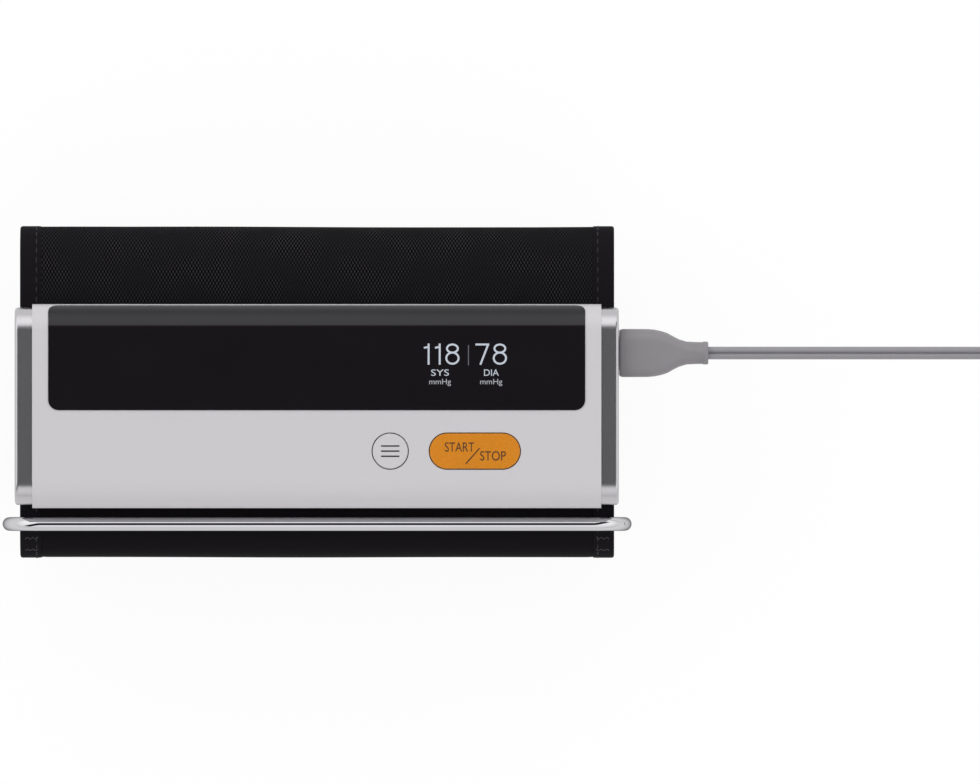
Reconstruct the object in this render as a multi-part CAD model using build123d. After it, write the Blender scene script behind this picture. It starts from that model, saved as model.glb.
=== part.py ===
from build123d import *
import math
import os

# Upper arm blood pressure monitor, lying on its back on a table with its display up.
# X runs along the arm, Y towards the display's upper edge and Z up from the table.
# The origin is on the table under the middle of the cuff. All sizes are in millimetres.

# ---- Cuff loop: layers that follow a route in the YZ plane and run along X ----
CUFF_WIDTH = 145.0
LOOP_DEPTH = 81.0
LOOP_HEIGHT = 50.0
BOTTOM_RADIUS = 17.0
TOP_RADIUS = 8.0
SHOULDER_DROP = 10.0  # the far wall bulges out down to this far below the top
SHOULDER_FALL = 8.0
SHOULDER_RADIUS = 10.0
CUFF_END_DROP = 14.0  # from the top to the end of the near wall, below the ring
LAYER_GAP = 0.05
OVERCUT = 1.0  # how far a cutter runs past the face it starts from

FABRIC_THICKNESS = 1.4
STIFFENER_THICKNESS = 1.2
BLADDER_THICKNESS = 0.8
LINING_THICKNESS = 0.8
STIFFENER_MARGIN = 5.5
BLADDER_MARGIN = 14.5
RIBBON_THICKNESS = 0.35
BINDING_WIDTH = 5.1

# ---- Closing strap: from the front wall, through the ring and round the outside ----
STRAP_THICKNESS = 2.6
STRAP_TURN_RADIUS = 8.3
STRAP_END_DROP = 21.0  # from the top to the strap's free end
SEAM_REACH = 11.2  # from the ring to the seam between the strap and the cuff's front wall
HOOK_THICKNESS = 0.9
HOOK_END_MARGIN = 12.5
HOOK_HEIGHT = 11.0
HOOK_MARGIN = 0.5

# ---- D-ring and the sleeve that holds its rear rod ----
RING_WIRE = 3.4
RING_OVERHANG = 4.3  # past the cuff's edge on either side
RING_RUNNING_FIT = 0.08
SLEEVE_WALL = 1.12
SLEEVE_MARGIN = 6.5
SLEEVE_FOOT = 3.4
RING_LENGTH = CUFF_WIDTH + 2 * RING_OVERHANG
RING_Y = STRAP_TURN_RADIUS - LOOP_DEPTH / 2
RING_Z = LOOP_HEIGHT - STRAP_TURN_RADIUS
SEAM_Y = RING_Y + SEAM_REACH

# ---- Monitor housing: a closed YZ section that runs along X ----
CAP_LENGTH = 4.3
CAP_OVERHANG = 1.1  # of the end caps past the cuff's edges
HOUSING_LENGTH = CUFF_WIDTH + 2 * (CAP_OVERHANG - CAP_LENGTH)
HOUSING_DEPTH = 49.7
HOUSING_HEIGHT = 17.5
HOUSING_RING_GAP = 2.2  # between the ring's rod and the housing
HOUSING_Y = RING_Y + RING_WIRE / 2 + HOUSING_RING_GAP + HOUSING_DEPTH / 2
PLINTH_HEIGHT = 0.5
PLINTH_MARGIN = 2.8
PLINTH_END_MARGIN = 2.9
HOUSING_BOTTOM = LOOP_HEIGHT + PLINTH_HEIGHT
FRONT_EDGE_RADIUS = 6.1
REAR_EDGE_RADIUS = 3.0
WALL = 2.2
LEAST_RADIUS = 0.5
REAR_WALL_HEIGHT = 5.0
TONGUE_THICKNESS = 1.0
TONGUE_HEIGHT = 1.5
MOULD_FIT = 0.1

CAP_INSET = 0.8
CAP_RIM_RADIUS = 0.75
CAP_WALL = 1.6
SPIGOT_LENGTH = 3.0
SPIGOT_WALL = 1.2

WINDOW_END_MARGIN = 3.95
WINDOW_LOW_Y = HOUSING_Y - 0.95
WINDOW_WRAP = 68.0  # degrees of the front edge that the window covers
WINDOW_THICKNESS = 1.5
WINDOW_PROUD = 0.2
WINDOW_CORNER = 2.5
DISPLAY_SIZE = (46.0, 15.2, 2.5)
DISPLAY_AT = (37.0, HOUSING_Y + 9.05)
DISPLAY_GAP = 0.2

BUTTON_Y = HOUSING_Y - 10.95
BUTTON_HEIGHT = 8.6
BUTTON_GAP = 0.25
BUTTON_PROUD = 0.15
BUTTON_TRAVEL = 0.5
BUTTON_EDGE = 0.2
MENU_X = 17.9
MENU_LENGTH = 8.6
START_X = 38.5
START_LENGTH = 22.0
FLANGE_WIDTH = 0.8
FLANGE_THICKNESS = 0.8
STEM_RADIUS = 2.0

# ---- Charging port and lead ----
PORT_Y = HOUSING_Y + 12.95
PORT_Z = HOUSING_BOTTOM + 9.1
SOCKET_SIZE = (8.94, 3.26)  # along Y and Z
SOCKET_WALL = 0.25
SOCKET_LENGTH = 7.4
SOCKET_RECESS = 0.5
SOCKET_BACK = 0.8
SOCKET_SLOT_GAP = 0.22
CONTACT_SIZE = (4.9, 6.6, 0.7)
PLUG_CLEARANCE = 0.1
PLUG_WALL = 0.3
PLUG_REACH = 6.6
BOOT_LENGTH = 21.7
BOOT_GAP = 0.1  # between the grip and the end cap, plugged in
# Sections of the grip: distance from its face, width, height and corner radius
BOOT_SECTIONS = [
    (0.0, 10.9, 6.4, 2.4),
    (0.6, 11.7, 7.2, 2.8),
    (7.0, 11.7, 7.2, 2.9),
    (10.2, 10.6, 7.0, 2.9),
    (13.2, 7.9, 6.3, 2.7),
    (16.4, 5.6, 5.4, 2.5),
    (BOOT_LENGTH, 5.2, 5.2, 2.4),
]

CABLE = 3.1
ARC_SHARE = 0.45  # of the shorter run beside each corner of a cable route
CABLE_START_X = HOUSING_LENGTH / 2 + CAP_LENGTH + BOOT_GAP + BOOT_LENGTH
COIL_OUTER_TURN = 23.2  # centreline radius of the outermost turn on the table
COIL_INNER_TURN = 10.8
COIL_UPPER_TURN = 20.9
COIL_LIFT = 0.6
COIL_CENTRE = (CABLE_START_X + 143.6, PORT_Y - COIL_OUTER_TURN)
CABLE_LOW_Z = COIL_LIFT + CABLE / 2
# Route of the free cable from the strain relief down to the table and the coil
CABLE_ROUTE = [
    (CABLE_START_X, PORT_Y, PORT_Z),
    (CABLE_START_X + 16.6, PORT_Y, PORT_Z),
    (CABLE_START_X + 36.6, PORT_Y, PORT_Z - 0.5),
    (CABLE_START_X + 55.6, PORT_Y, PORT_Z - 2.6),
    (CABLE_START_X + 71.6, PORT_Y, PORT_Z - 7.6),
    (CABLE_START_X + 83.6, PORT_Y, PORT_Z - 16.6),
    (CABLE_START_X + 93.1, PORT_Y, PORT_Z - 28.6),
    (CABLE_START_X + 100.6, PORT_Y, PORT_Z - 41.6),
    (CABLE_START_X + 109.1, PORT_Y, CABLE_LOW_Z + 5.45),
    (CABLE_START_X + 120.6, PORT_Y, CABLE_LOW_Z),
    (CABLE_START_X + 130.6, PORT_Y, CABLE_LOW_Z),
]
# Route from the coil's upper layer to the charger plug
TAIL_X = COIL_CENTRE[0] + COIL_UPPER_TURN
TAIL_Y = COIL_CENTRE[1] - 16.3
TAIL_Z = COIL_LIFT + 1.5 * CABLE
CHARGER_BODY = (18.0, 15.4, 7.9)
CHARGER_Z = CHARGER_BODY[2] / 2 + 2 * LAYER_GAP
TAIL_ROUTE = [
    (TAIL_X, TAIL_Y, TAIL_Z),
    (TAIL_X, TAIL_Y - 8.2, TAIL_Z),
    (TAIL_X - 2.9, TAIL_Y - 17.5, TAIL_Z - 0.45),
    (TAIL_X - 9.9, TAIL_Y - 24.5, CHARGER_Z + 0.25),
    (TAIL_X - 19.4, TAIL_Y - 27.5, CHARGER_Z),
    (TAIL_X - 27.9, TAIL_Y - 27.5, CHARGER_Z),
]
TIE_WIDTH = 6.0
TIE_THICKNESS = 0.5
TIE_GAP = 0.1
TIE_ANGLE = -115.0
CHARGER_BOOT = 10.0
CHARGER_SHELL = (18.7, 12.0, 4.5)
CHARGER_SHELL_WALL = 0.3
CHARGER_CONTACTS = (16.0, 11.2, 1.8)
CHARGER_CONTACTS_BACK = 1.0
CHARGER_CORNER = 2.5
CHARGER_BOOT_WAIST = (5.4, 6.4)  # width at the cable and part way along
CHARGER_BOOT_BEND = 4.5
CHARGER_SHELL_CORNER = 0.6
LATCH_HOLE = (2.5, 2.2)

# ---- Screw places ----
BOSS_X = HOUSING_LENGTH / 2 - 14.3
BOSS_Y = (HOUSING_Y - HOUSING_DEPTH / 2 + 5.3, HOUSING_Y + HOUSING_DEPTH / 2 - 5.1)
BOSS_RADIUS = 2.5
SCREW_RADIUS = 1.0
SCREW_HEAD_RADIUS = 1.9
SCREW_HEAD_HEIGHT = 1.2
SCREW_FIT = 0.05
SCREW_SINK = 0.1  # of the heads below the face they are let into
SCREW_END_GAP = 0.5
BOARD_SCREW_GRIP = 3.0
MOUNT_X = HOUSING_LENGTH / 2 - 7.3
MOUNT_Y = (HOUSING_Y - 8.55, HOUSING_Y + 9.45)
MOUNT_BOSS_HEIGHT = 3.0
MOUNT_BOSS_ROOF = 0.5
MOUNT_HEAD_HEIGHT = 0.75
PLATE_MARGIN = 1.0
PLATE_CORNER = 2.0
PLATE_INSET = 2.9  # of the mounting plate from the housing's upper edge

# ---- Pump, valve, battery and board, placed from the left end ----
AIR_Y = HOUSING_Y + 10.65
AIR_Z = HOUSING_BOTTOM + 8.5
PUMP_RADIUS = 6.3
PUMP_MOTOR_LENGTH = 20.0
PUMP_HEAD_LENGTH = 15.0
PUMP_HEAD_CORNER = 2.0
PUMP_END_RADIUS = 1.5
PUMP_END_LENGTH = 1.2
PUMP_START_X = 5.0 - MOUNT_X
PUMP_HEAD_START_X = PUMP_START_X + PUMP_MOTOR_LENGTH
PUMP_END_X = PUMP_HEAD_START_X + PUMP_HEAD_LENGTH
MANIFOLD_X = PUMP_END_X + 13.0
MANIFOLD_SIZE = 8.0
MANIFOLD_CORNER = 1.0
NOZZLE_RADIUS = 1.2
NOZZLE_LENGTH = 3.5
HOSE_RADIUS = 2.1
HOSE_FIT = 0.05
SENSOR_X = MANIFOLD_X + 14.5
SENSOR_SIZE = (7.0, 7.0, 4.2)
SENSOR_EDGE = 0.5
VALVE_Y = HOUSING_Y - 6.05
VALVE_SIZE = (9.0, 9.0, 8.6)
VALVE_EDGE = 0.6
BATTERY_START_X = 3.0 - MOUNT_X
BATTERY_Y = HOUSING_Y - 6.25
BATTERY_SIZE = (44.0, 20.6, 9.6)
BATTERY_EDGE = 2.0
NIPPLE_RADIUS = 2.2
NIPPLE_BORE = 1.2
NIPPLE_FIT = 0.05
NIPPLE_SEAT = 3.0  # depth of the nipple's socket in the manifold

BOARD_THICKNESS = 1.6
BOARD_X = (SENSOR_X - 3.4, HOUSING_LENGTH / 2 - 5.3)
BOARD_Y = (HOUSING_Y - 15.45, HOUSING_Y + 14.95)
BOARD_EAR = 10.0
BOARD_EAR_ROOT = 5.0
BOARD_END_GAP = 0.5
STANDOFF_RADIUS = 2.5
STANDOFFS = [
    (BOARD_X[0] + 1.9, HOUSING_Y - 12.55),
    (BOARD_X[1] - 12.0, HOUSING_Y - 12.55),
    (BOARD_X[0] + 17.9, HOUSING_Y + 11.75),
    (BOARD_X[1] - 12.0, HOUSING_Y + 11.75),
]
# Battery connector, radio module, processor, memory, inductor and charger chip,
# in this order along the board: place in Y, width, depth and height of each
BOARD_PARTS = [
    (HOUSING_Y - 2.55, 4.5, 8.0, 3.6),
    (HOUSING_Y - 0.55, 10.0, 8.0, 2.0),
    (HOUSING_Y + 4.45, 9.0, 9.0, 1.2),
    (HOUSING_Y + 5.45, 5.0, 4.0, 1.0),
    (HOUSING_Y - 1.55, 4.5, 4.5, 2.4),
    (HOUSING_Y + 0.45, 4.0, 4.0, 1.0),
]
SWITCH_SIZE = (6.0, 6.0, 3.5)
PLUNGER_RADIUS = 1.65
PLUNGER_FIT = 0.1
PLUNGER_DEPTH = 1.0
PLUNGER_RISE = 0.8
PLUNGER_END_GAP = 0.2

# ---- Places worked out from the sizes above ----
HALF_DEPTH = LOOP_DEPTH / 2
SHOULDER_Z = LOOP_HEIGHT - SHOULDER_DROP
CUFF_END_Z = LOOP_HEIGHT - CUFF_END_DROP
STRAP_END_Z = LOOP_HEIGHT - STRAP_END_DROP
CUFF_THICKNESS = (
    FABRIC_THICKNESS + STIFFENER_THICKNESS + BLADDER_THICKNESS + LINING_THICKNESS
) + 3 * LAYER_GAP
STRAP_DEPTH = STRAP_THICKNESS + LAYER_GAP
STIFFENER_FACE = FABRIC_THICKNESS + LAYER_GAP
BLADDER_FACE = STIFFENER_FACE + STIFFENER_THICKNESS + LAYER_GAP
LINING_FACE = BLADDER_FACE + BLADDER_THICKNESS + LAYER_GAP
RING_END_RADIUS = STRAP_TURN_RADIUS - STRAP_THICKNESS / 2
HOUSING_TOP = HOUSING_BOTTOM + HOUSING_HEIGHT
HOUSING_EDGE_Y = HOUSING_Y + HOUSING_DEPTH / 2
PARTING_Z = HOUSING_BOTTOM + REAR_WALL_HEIGHT
FLOOR_Z = HOUSING_BOTTOM + WALL
CEILING_Z = HOUSING_TOP - WALL
CAP_FACE_X = HOUSING_LENGTH / 2 + CAP_LENGTH
BOARD_TOP = PORT_Z - SOCKET_SIZE[1] / 2
BOARD_BOTTOM = BOARD_TOP - BOARD_THICKNESS
SWITCH_TOP = BOARD_TOP + SWITCH_SIZE[2]
PLATE_TOP = LOOP_HEIGHT - STIFFENER_FACE
PLATE_BOTTOM = PLATE_TOP - STIFFENER_THICKNESS
PLATE_EDGE_Y = HOUSING_EDGE_Y - PLATE_INSET
EPS = 0.01


# ---- Shared shapes ----
def block(low, high):
    """Box between two opposite corners."""
    centre = [(a + b) / 2 for a, b in zip(low, high)]
    size = [b - a for a, b in zip(low, high)]
    return Pos(*centre) * Box(*size)


def along_x(section, start, end):
    """Solid of a YZ section that runs from start to end along X."""
    return extrude(Plane.YZ.offset(start) * section, amount=end - start, dir=(1, 0, 0))


def rod_x(radius, start, end, y, z):
    """Round bar along X."""
    return along_x(Pos(y, z) * Circle(radius), start, end)


def rod_y(radius, start, end, x, z):
    """Round bar along Y."""
    return Pos(x, (start + end) / 2, z) * Rot(90, 0, 0) * Cylinder(radius, end - start)


def rod_z(radius, start, end, x, y):
    """Round bar along Z."""
    return Pos(x, y, (start + end) / 2) * Cylinder(radius, end - start)


def screw(x, y, head_z, tip_z, head_height):
    """Pan-head screw that points up from its head."""
    head = rod_z(SCREW_HEAD_RADIUS, head_z, head_z + head_height, x, y)
    return head + rod_z(SCREW_RADIUS, head_z + head_height, tip_z, x, y)


def inset_route(route, depth):
    """A route moved inwards by depth. Routes run clockwise, so inwards is to the right."""
    points = [Vector(*point) for point in route[0]]
    ways = [(end - start).normalized() for start, end in zip(points, points[1:])]
    sides = [Vector(way.Y, -way.X) for way in ways]
    moved = [points[0] + sides[0] * depth]
    for point, before, after in zip(points[1:-1], sides, sides[1:]):
        moved.append(point + (before + after) * (depth / (1 + before.dot(after))))
    moved.append(points[-1] + sides[-1] * depth)
    turns = [before.cross(after).Z for before, after in zip(ways, ways[1:])]
    return moved, [radius + math.copysign(depth, turn) for radius, turn in zip(route[1], turns)]


def band(route, outer, inner):
    """YZ section of a layer that lies between two depths below the route."""
    rim_points, rim_radii = inset_route(route, outer)
    core_points, core_radii = inset_route(route, inner)
    rim = FilletPolyline(*rim_points, radius=rim_radii)
    core = FilletPolyline(*core_points, radius=core_radii)
    ends = [Line(rim @ 0, core @ 0), Line(rim @ 1, core @ 1)]
    return make_face([*rim.edges(), *core.edges(), *ends])


def layer(route, outer, inner, width):
    """A layer of the cuff, centred on the arm's axis direction."""
    return along_x(band(route, outer, inner), -width / 2, width / 2)


def edge_binding(route, thickness, side):
    """Ribbon folded over one edge of a band: a channel that follows the route."""
    edge = side * CUFF_WIDTH / 2
    inner = edge - side * BINDING_WIDTH
    web = edge - side * RIBBON_THICKNESS
    ribbon = along_x(band(route, 0, thickness), *sorted((inner, edge)))
    edge_band = band(route, RIBBON_THICKNESS, thickness - RIBBON_THICKNESS)
    return ribbon - along_x(edge_band, *sorted((inner - side, web)))


def bound_layer(route, outer, inner, outer_bound, inner_bound):
    """A layer that is pressed thinner at both edges, under the ribbon."""
    seat = RIBBON_THICKNESS + LAYER_GAP
    thin = band(route, outer + seat * outer_bound, inner - seat * inner_bound)
    half = CUFF_WIDTH / 2 - seat
    wide = along_x(thin, -half, half)
    return wide + layer(route, outer, inner, CUFF_WIDTH - 2 * (BINDING_WIDTH + LAYER_GAP))


# ---- Cuff ----
def cuff_route(start_y, end_z):
    """Outer face of the cuff, from the front wall round the far wall to the near wall."""
    wall_y = HALF_DEPTH - STRAP_DEPTH
    points = [
        (start_y, LOOP_HEIGHT),
        (HALF_DEPTH, LOOP_HEIGHT),
        (HALF_DEPTH, SHOULDER_Z),
        (wall_y, SHOULDER_Z - SHOULDER_FALL),
        (wall_y, STRAP_DEPTH),
        (-wall_y, STRAP_DEPTH),
        (-wall_y, end_z),
    ]
    corner = BOTTOM_RADIUS - STRAP_DEPTH
    return points, [TOP_RADIUS, SHOULDER_RADIUS, SHOULDER_RADIUS, corner, corner]


def strap_route():
    """Outer face of the closing strap, from its free end back round to the front wall."""
    points = [
        (HALF_DEPTH, STRAP_END_Z),
        (HALF_DEPTH, 0),
        (-HALF_DEPTH, 0),
        (-HALF_DEPTH, LOOP_HEIGHT),
        (SEAM_Y - LAYER_GAP, LOOP_HEIGHT),
    ]
    return points, [BOTTOM_RADIUS, BOTTOM_RADIUS, STRAP_TURN_RADIUS]


def mount_holes(radius, low, high):
    """Cutters for the screws that hold the monitor to the mounting plate."""
    return [rod_z(radius, low, high, side * MOUNT_X, y) for side in (-1, 1) for y in MOUNT_Y]


def nipple_hole(low, high):
    """Cutter for the air nipple where it passes a wall."""
    return rod_z(NIPPLE_RADIUS + NIPPLE_FIT, low, high, MANIFOLD_X, AIR_Y)


def cuff_outer_fabric():
    """Spacer mesh that forms the cuff's outer face."""
    cloth = bound_layer(cuff_route(SEAM_Y, CUFF_END_Z), 0, FABRIC_THICKNESS, 1, 0)
    cloth -= mount_holes(SCREW_RADIUS + SCREW_FIT, PLATE_TOP, LOOP_HEIGHT + OVERCUT)
    return cloth - nipple_hole(PLATE_TOP, LOOP_HEIGHT + OVERCUT)


def cuff_stiffener():
    """Springy sheet that keeps the cuff open round the far wall and the back."""
    route = cuff_route(PLATE_EDGE_Y + LAYER_GAP, CUFF_END_Z - PLATE_MARGIN)
    width = CUFF_WIDTH - 2 * STIFFENER_MARGIN
    return layer(route, STIFFENER_FACE, STIFFENER_FACE + STIFFENER_THICKNESS, width)


def mounting_plate():
    """Flat plate behind the front fabric that the monitor is screwed to."""
    half = CUFF_WIDTH / 2 - STIFFENER_MARGIN
    plate = block(
        (-half, SEAM_Y + PLATE_MARGIN, PLATE_BOTTOM),
        (half, PLATE_EDGE_Y, PLATE_TOP),
    )
    plate = fillet(plate.edges().filter_by(Axis.Z).group_by(Axis.Y)[0], PLATE_CORNER)
    plate -= mount_holes(SCREW_RADIUS + SCREW_FIT, PLATE_BOTTOM - OVERCUT, PLATE_TOP + OVERCUT)
    return plate - nipple_hole(PLATE_BOTTOM - OVERCUT, PLATE_TOP + OVERCUT)


def air_bladder():
    """Flat, empty air bladder that lies inside the stiffener."""
    route = cuff_route(SEAM_Y + PLATE_MARGIN, CUFF_END_Z - PLATE_MARGIN)
    width = CUFF_WIDTH - 2 * BLADDER_MARGIN
    bladder = layer(route, BLADDER_FACE, BLADDER_FACE + BLADDER_THICKNESS, width)
    top = LOOP_HEIGHT - BLADDER_FACE
    return bladder - nipple_hole(top - BLADDER_THICKNESS / 2, top + OVERCUT)


def cuff_lining():
    """Smooth cloth that lies against the arm."""
    route = cuff_route(SEAM_Y, CUFF_END_Z)
    return bound_layer(route, LINING_FACE, LINING_FACE + LINING_THICKNESS, 0, 1)


def hook_patch(clearance=0.0):
    """Hook tape on the inner face of the strap's free end."""
    inner_y = HALF_DEPTH - STRAP_THICKNESS
    high = STRAP_END_Z - HOOK_MARGIN
    half = CUFF_WIDTH / 2 - HOOK_END_MARGIN + clearance
    return block(
        (-half, inner_y - clearance, high - HOOK_HEIGHT - clearance),
        (half, inner_y + HOOK_THICKNESS + clearance, high + clearance),
    )


def closing_strap():
    """Strap that passes through the ring and wraps the outside of the cuff."""
    strap = bound_layer(strap_route(), 0, STRAP_THICKNESS, 1, 1)
    return strap - hook_patch(LAYER_GAP)


def ring_sleeve():
    """Webbing loop that holds the ring's rear rod and is sewn to the cuff's near wall."""
    bore = RING_WIRE / 2 + RING_RUNNING_FIT
    wall_y = STRAP_DEPTH + CUFF_THICKNESS / 2 - HALF_DEPTH
    foot_z = CUFF_END_Z + LAYER_GAP + RIBBON_THICKNESS
    foot = Pos(wall_y, foot_z) * Rectangle(SLEEVE_FOOT, 2 * RIBBON_THICKNESS)
    loop = Pos(RING_Y, RING_Z) * Circle(bore + SLEEVE_WALL)
    drop = make_hull([*loop.edges(), *foot.edges()]) - Pos(RING_Y, RING_Z) * Circle(bore)
    half = CUFF_WIDTH / 2 - SLEEVE_MARGIN
    return along_x(drop, -half, half)


def d_ring():
    """Endless ring of round wire: two straight rods joined by half-round ends."""
    straight = RING_LENGTH - RING_WIRE - 2 * RING_END_RADIUS
    outline = Pos(0, RING_Z + RING_END_RADIUS) * SlotCenterToCenter(straight, 2 * RING_END_RADIUS)
    path = (Plane.XZ.offset(-RING_Y) * outline).wires()[0]
    return sweep(Plane(path @ 0, z_dir=path % 0) * Circle(RING_WIRE / 2), path=path)


# ---- Housing ----
def housing_section(inset):
    """Outline of the closed housing, drawn in by inset all round."""
    centre = Pos(HOUSING_Y, HOUSING_BOTTOM + HOUSING_HEIGHT / 2)
    outline = centre * Rectangle(HOUSING_DEPTH - 2 * inset, HOUSING_HEIGHT - 2 * inset)
    front = max(FRONT_EDGE_RADIUS - inset, LEAST_RADIUS)
    rear = max(REAR_EDGE_RADIUS - inset, LEAST_RADIUS)
    outline = fillet(outline.vertices().group_by(Axis.Y)[-1], front)
    return fillet(outline.vertices().group_by(Axis.Y)[0], rear)


def housing_half(section, low, high):
    """The part of a housing section between two heights, run along the housing."""
    reach = HOUSING_DEPTH
    half = HOUSING_LENGTH / 2
    span = block((-half, HOUSING_Y - reach, low), (half, HOUSING_Y + reach, high))
    return along_x(section, -half, half) & span


def window_shape(clearance, proud):
    """Window, or the pocket it sits in: flat, then bent over the upper front edge."""
    centre = Vector(HOUSING_EDGE_Y - FRONT_EDGE_RADIUS, HOUSING_TOP - FRONT_EDGE_RADIUS)
    outer = FRONT_EDGE_RADIUS + proud
    inner = FRONT_EDGE_RADIUS + WINDOW_PROUD - WINDOW_THICKNESS - clearance
    sweep_angle = WINDOW_WRAP + math.degrees(clearance / FRONT_EDGE_RADIUS)
    low_y = WINDOW_LOW_Y - clearance
    rim = CenterArc(centre, outer, 90, -sweep_angle)
    core = CenterArc(centre, inner, 90, -sweep_angle)
    low_rim = (low_y, centre.Y + outer)
    low_core = (low_y, centre.Y + inner)
    sides = [
        Line(rim @ 0, low_rim),
        Line(low_rim, low_core),
        Line(low_core, core @ 0),
        Line(core @ 1, rim @ 1),
    ]
    half = HOUSING_LENGTH / 2 - WINDOW_END_MARGIN + clearance
    shape = along_x(make_face([rim, core, *sides]), -half, half)
    corners = [
        edge
        for edge in shape.edges()
        if abs(abs(edge.center().X) - half) < EPS and abs(edge.length - (outer - inner)) < EPS
    ]
    return fillet(corners, WINDOW_CORNER + clearance)


def button_outline(length, grow):
    """Pill outline of a button in plan, grown all round; as long as it is high, it is a circle."""
    height = BUTTON_HEIGHT + 2 * grow
    if length > BUTTON_HEIGHT:
        return SlotOverall(length + 2 * grow, height)
    return Circle(height / 2)


def button_prism(x, length, grow, low, high):
    """Upright prism of a button's outline between two heights."""
    return extrude(Pos(x, BUTTON_Y, low) * button_outline(length, grow), amount=high - low)


def button(x, length):
    """Push button: cap, flange that keeps it in the cover, and stem down to its switch."""
    flange_top = CEILING_Z - MOULD_FIT
    cap = button_prism(x, length, 0, flange_top, HOUSING_TOP + BUTTON_PROUD)
    cap = chamfer(cap.edges().group_by(Axis.Z)[-1], BUTTON_EDGE)
    flange = button_prism(x, length, FLANGE_WIDTH, flange_top - FLANGE_THICKNESS, flange_top)
    stem = rod_z(STEM_RADIUS, SWITCH_TOP + PLUNGER_RISE, flange_top, x, BUTTON_Y)
    return cap + flange + stem


def plunger(x):
    """Moving plunger of the switch under a button."""
    return rod_z(PLUNGER_RADIUS, SWITCH_TOP - PLUNGER_DEPTH, SWITCH_TOP + PLUNGER_RISE, x, BUTTON_Y)


def boss_places():
    """Places of the four bosses that join the covers."""
    return [(side * BOSS_X, y) for side in (-1, 1) for y in BOSS_Y]


def front_cover():
    """Upper shell: channel section with window pocket, button holes and screw bosses."""
    cover = housing_half(housing_section(0) - housing_section(WALL), PARTING_Z, HOUSING_TOP)
    rebate = housing_section(WALL - TONGUE_THICKNESS - MOULD_FIT) - housing_section(WALL + EPS)
    cover -= housing_half(rebate, PARTING_Z, PARTING_Z + TONGUE_HEIGHT + MOULD_FIT)
    for boss_x, boss_y in boss_places():
        boss = rod_z(BOSS_RADIUS, FLOOR_Z + LAYER_GAP, CEILING_Z, boss_x, boss_y)
        cover += boss - rod_z(SCREW_RADIUS + SCREW_FIT, 0, CEILING_Z - WALL, boss_x, boss_y)
    cover -= window_shape(LAYER_GAP, OVERCUT)
    width, depth, _ = DISPLAY_SIZE
    x, y = DISPLAY_AT
    aperture = Box(width + 2 * DISPLAY_GAP, depth + 2 * DISPLAY_GAP, 2 * WALL)
    cover -= Pos(x, y, HOUSING_TOP - WALL) * aperture
    for place, length in ((MENU_X, MENU_LENGTH), (START_X, START_LENGTH)):
        low = CEILING_Z - OVERCUT
        cover -= button_prism(place, length, BUTTON_GAP, low, HOUSING_TOP + OVERCUT)
    return cover


def rear_cover():
    """Lower shell: tray with a tongue, plinth, standoffs and screw holes."""
    tray = housing_half(housing_section(0) - housing_section(WALL), HOUSING_BOTTOM, PARTING_Z)
    tongue = housing_section(WALL - TONGUE_THICKNESS) - housing_section(WALL)
    tray += housing_half(tongue, PARTING_Z - EPS, PARTING_Z + TONGUE_HEIGHT)
    half_x = HOUSING_LENGTH / 2 - PLINTH_END_MARGIN
    half_y = HOUSING_DEPTH / 2 - PLINTH_MARGIN
    tray += block(
        (-half_x, HOUSING_Y - half_y, LOOP_HEIGHT),
        (half_x, HOUSING_Y + half_y, HOUSING_BOTTOM + EPS),
    )
    for x, y in STANDOFFS:
        post = rod_z(STANDOFF_RADIUS, FLOOR_Z - EPS, BOARD_BOTTOM, x, y)
        tray += post - rod_z(SCREW_RADIUS + SCREW_FIT, FLOOR_Z, BOARD_BOTTOM, x, y)
    for side in (-1, 1):
        for y in MOUNT_Y:
            tray += rod_z(BOSS_RADIUS, FLOOR_Z - EPS, FLOOR_Z + MOUNT_BOSS_HEIGHT, side * MOUNT_X, y)
    roof = FLOOR_Z + MOUNT_BOSS_HEIGHT - MOUNT_BOSS_ROOF
    tray -= mount_holes(SCREW_RADIUS + SCREW_FIT, 0, roof)
    for x, y in boss_places():
        tray -= rod_z(SCREW_RADIUS + SCREW_FIT, 0, FLOOR_Z + OVERCUT, x, y)
        tray -= rod_z(SCREW_HEAD_RADIUS + SCREW_FIT, 0, LOOP_HEIGHT + SCREW_HEAD_HEIGHT, x, y)
    return tray - nipple_hole(0, FLOOR_Z + OVERCUT)


def end_cap(side):
    """Bright end cap: rounded outer rim, hollow back and a spigot into the covers."""
    face = housing_section(CAP_INSET)
    cap = along_x(face, HOUSING_LENGTH / 2, CAP_FACE_X)
    cap = fillet(cap.faces().sort_by(Axis.X)[-1].edges(), CAP_RIM_RADIUS)
    spigot_start = HOUSING_LENGTH / 2 - SPIGOT_LENGTH
    cap += along_x(housing_section(WALL + MOULD_FIT), spigot_start, HOUSING_LENGTH / 2)
    hollow = housing_section(WALL + MOULD_FIT + SPIGOT_WALL)
    cap -= along_x(hollow, spigot_start - OVERCUT, CAP_FACE_X - CAP_WALL)
    if side < 0:
        return mirror(cap, about=Plane.YZ)
    slot = Pos(PORT_Y, PORT_Z) * SlotOverall(
        SOCKET_SIZE[0] + 2 * SOCKET_SLOT_GAP, SOCKET_SIZE[1] + 2 * SOCKET_SLOT_GAP
    )
    return cap - along_x(slot, CAP_FACE_X - CAP_WALL - OVERCUT, CAP_FACE_X + OVERCUT)


def display_module():
    """Display panel that shines through the window."""
    width, depth, height = DISPLAY_SIZE
    top = HOUSING_TOP + WINDOW_PROUD - WINDOW_THICKNESS - LAYER_GAP
    x, y = DISPLAY_AT
    return Pos(x, y, top - height / 2) * Box(width, depth, height)


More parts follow.
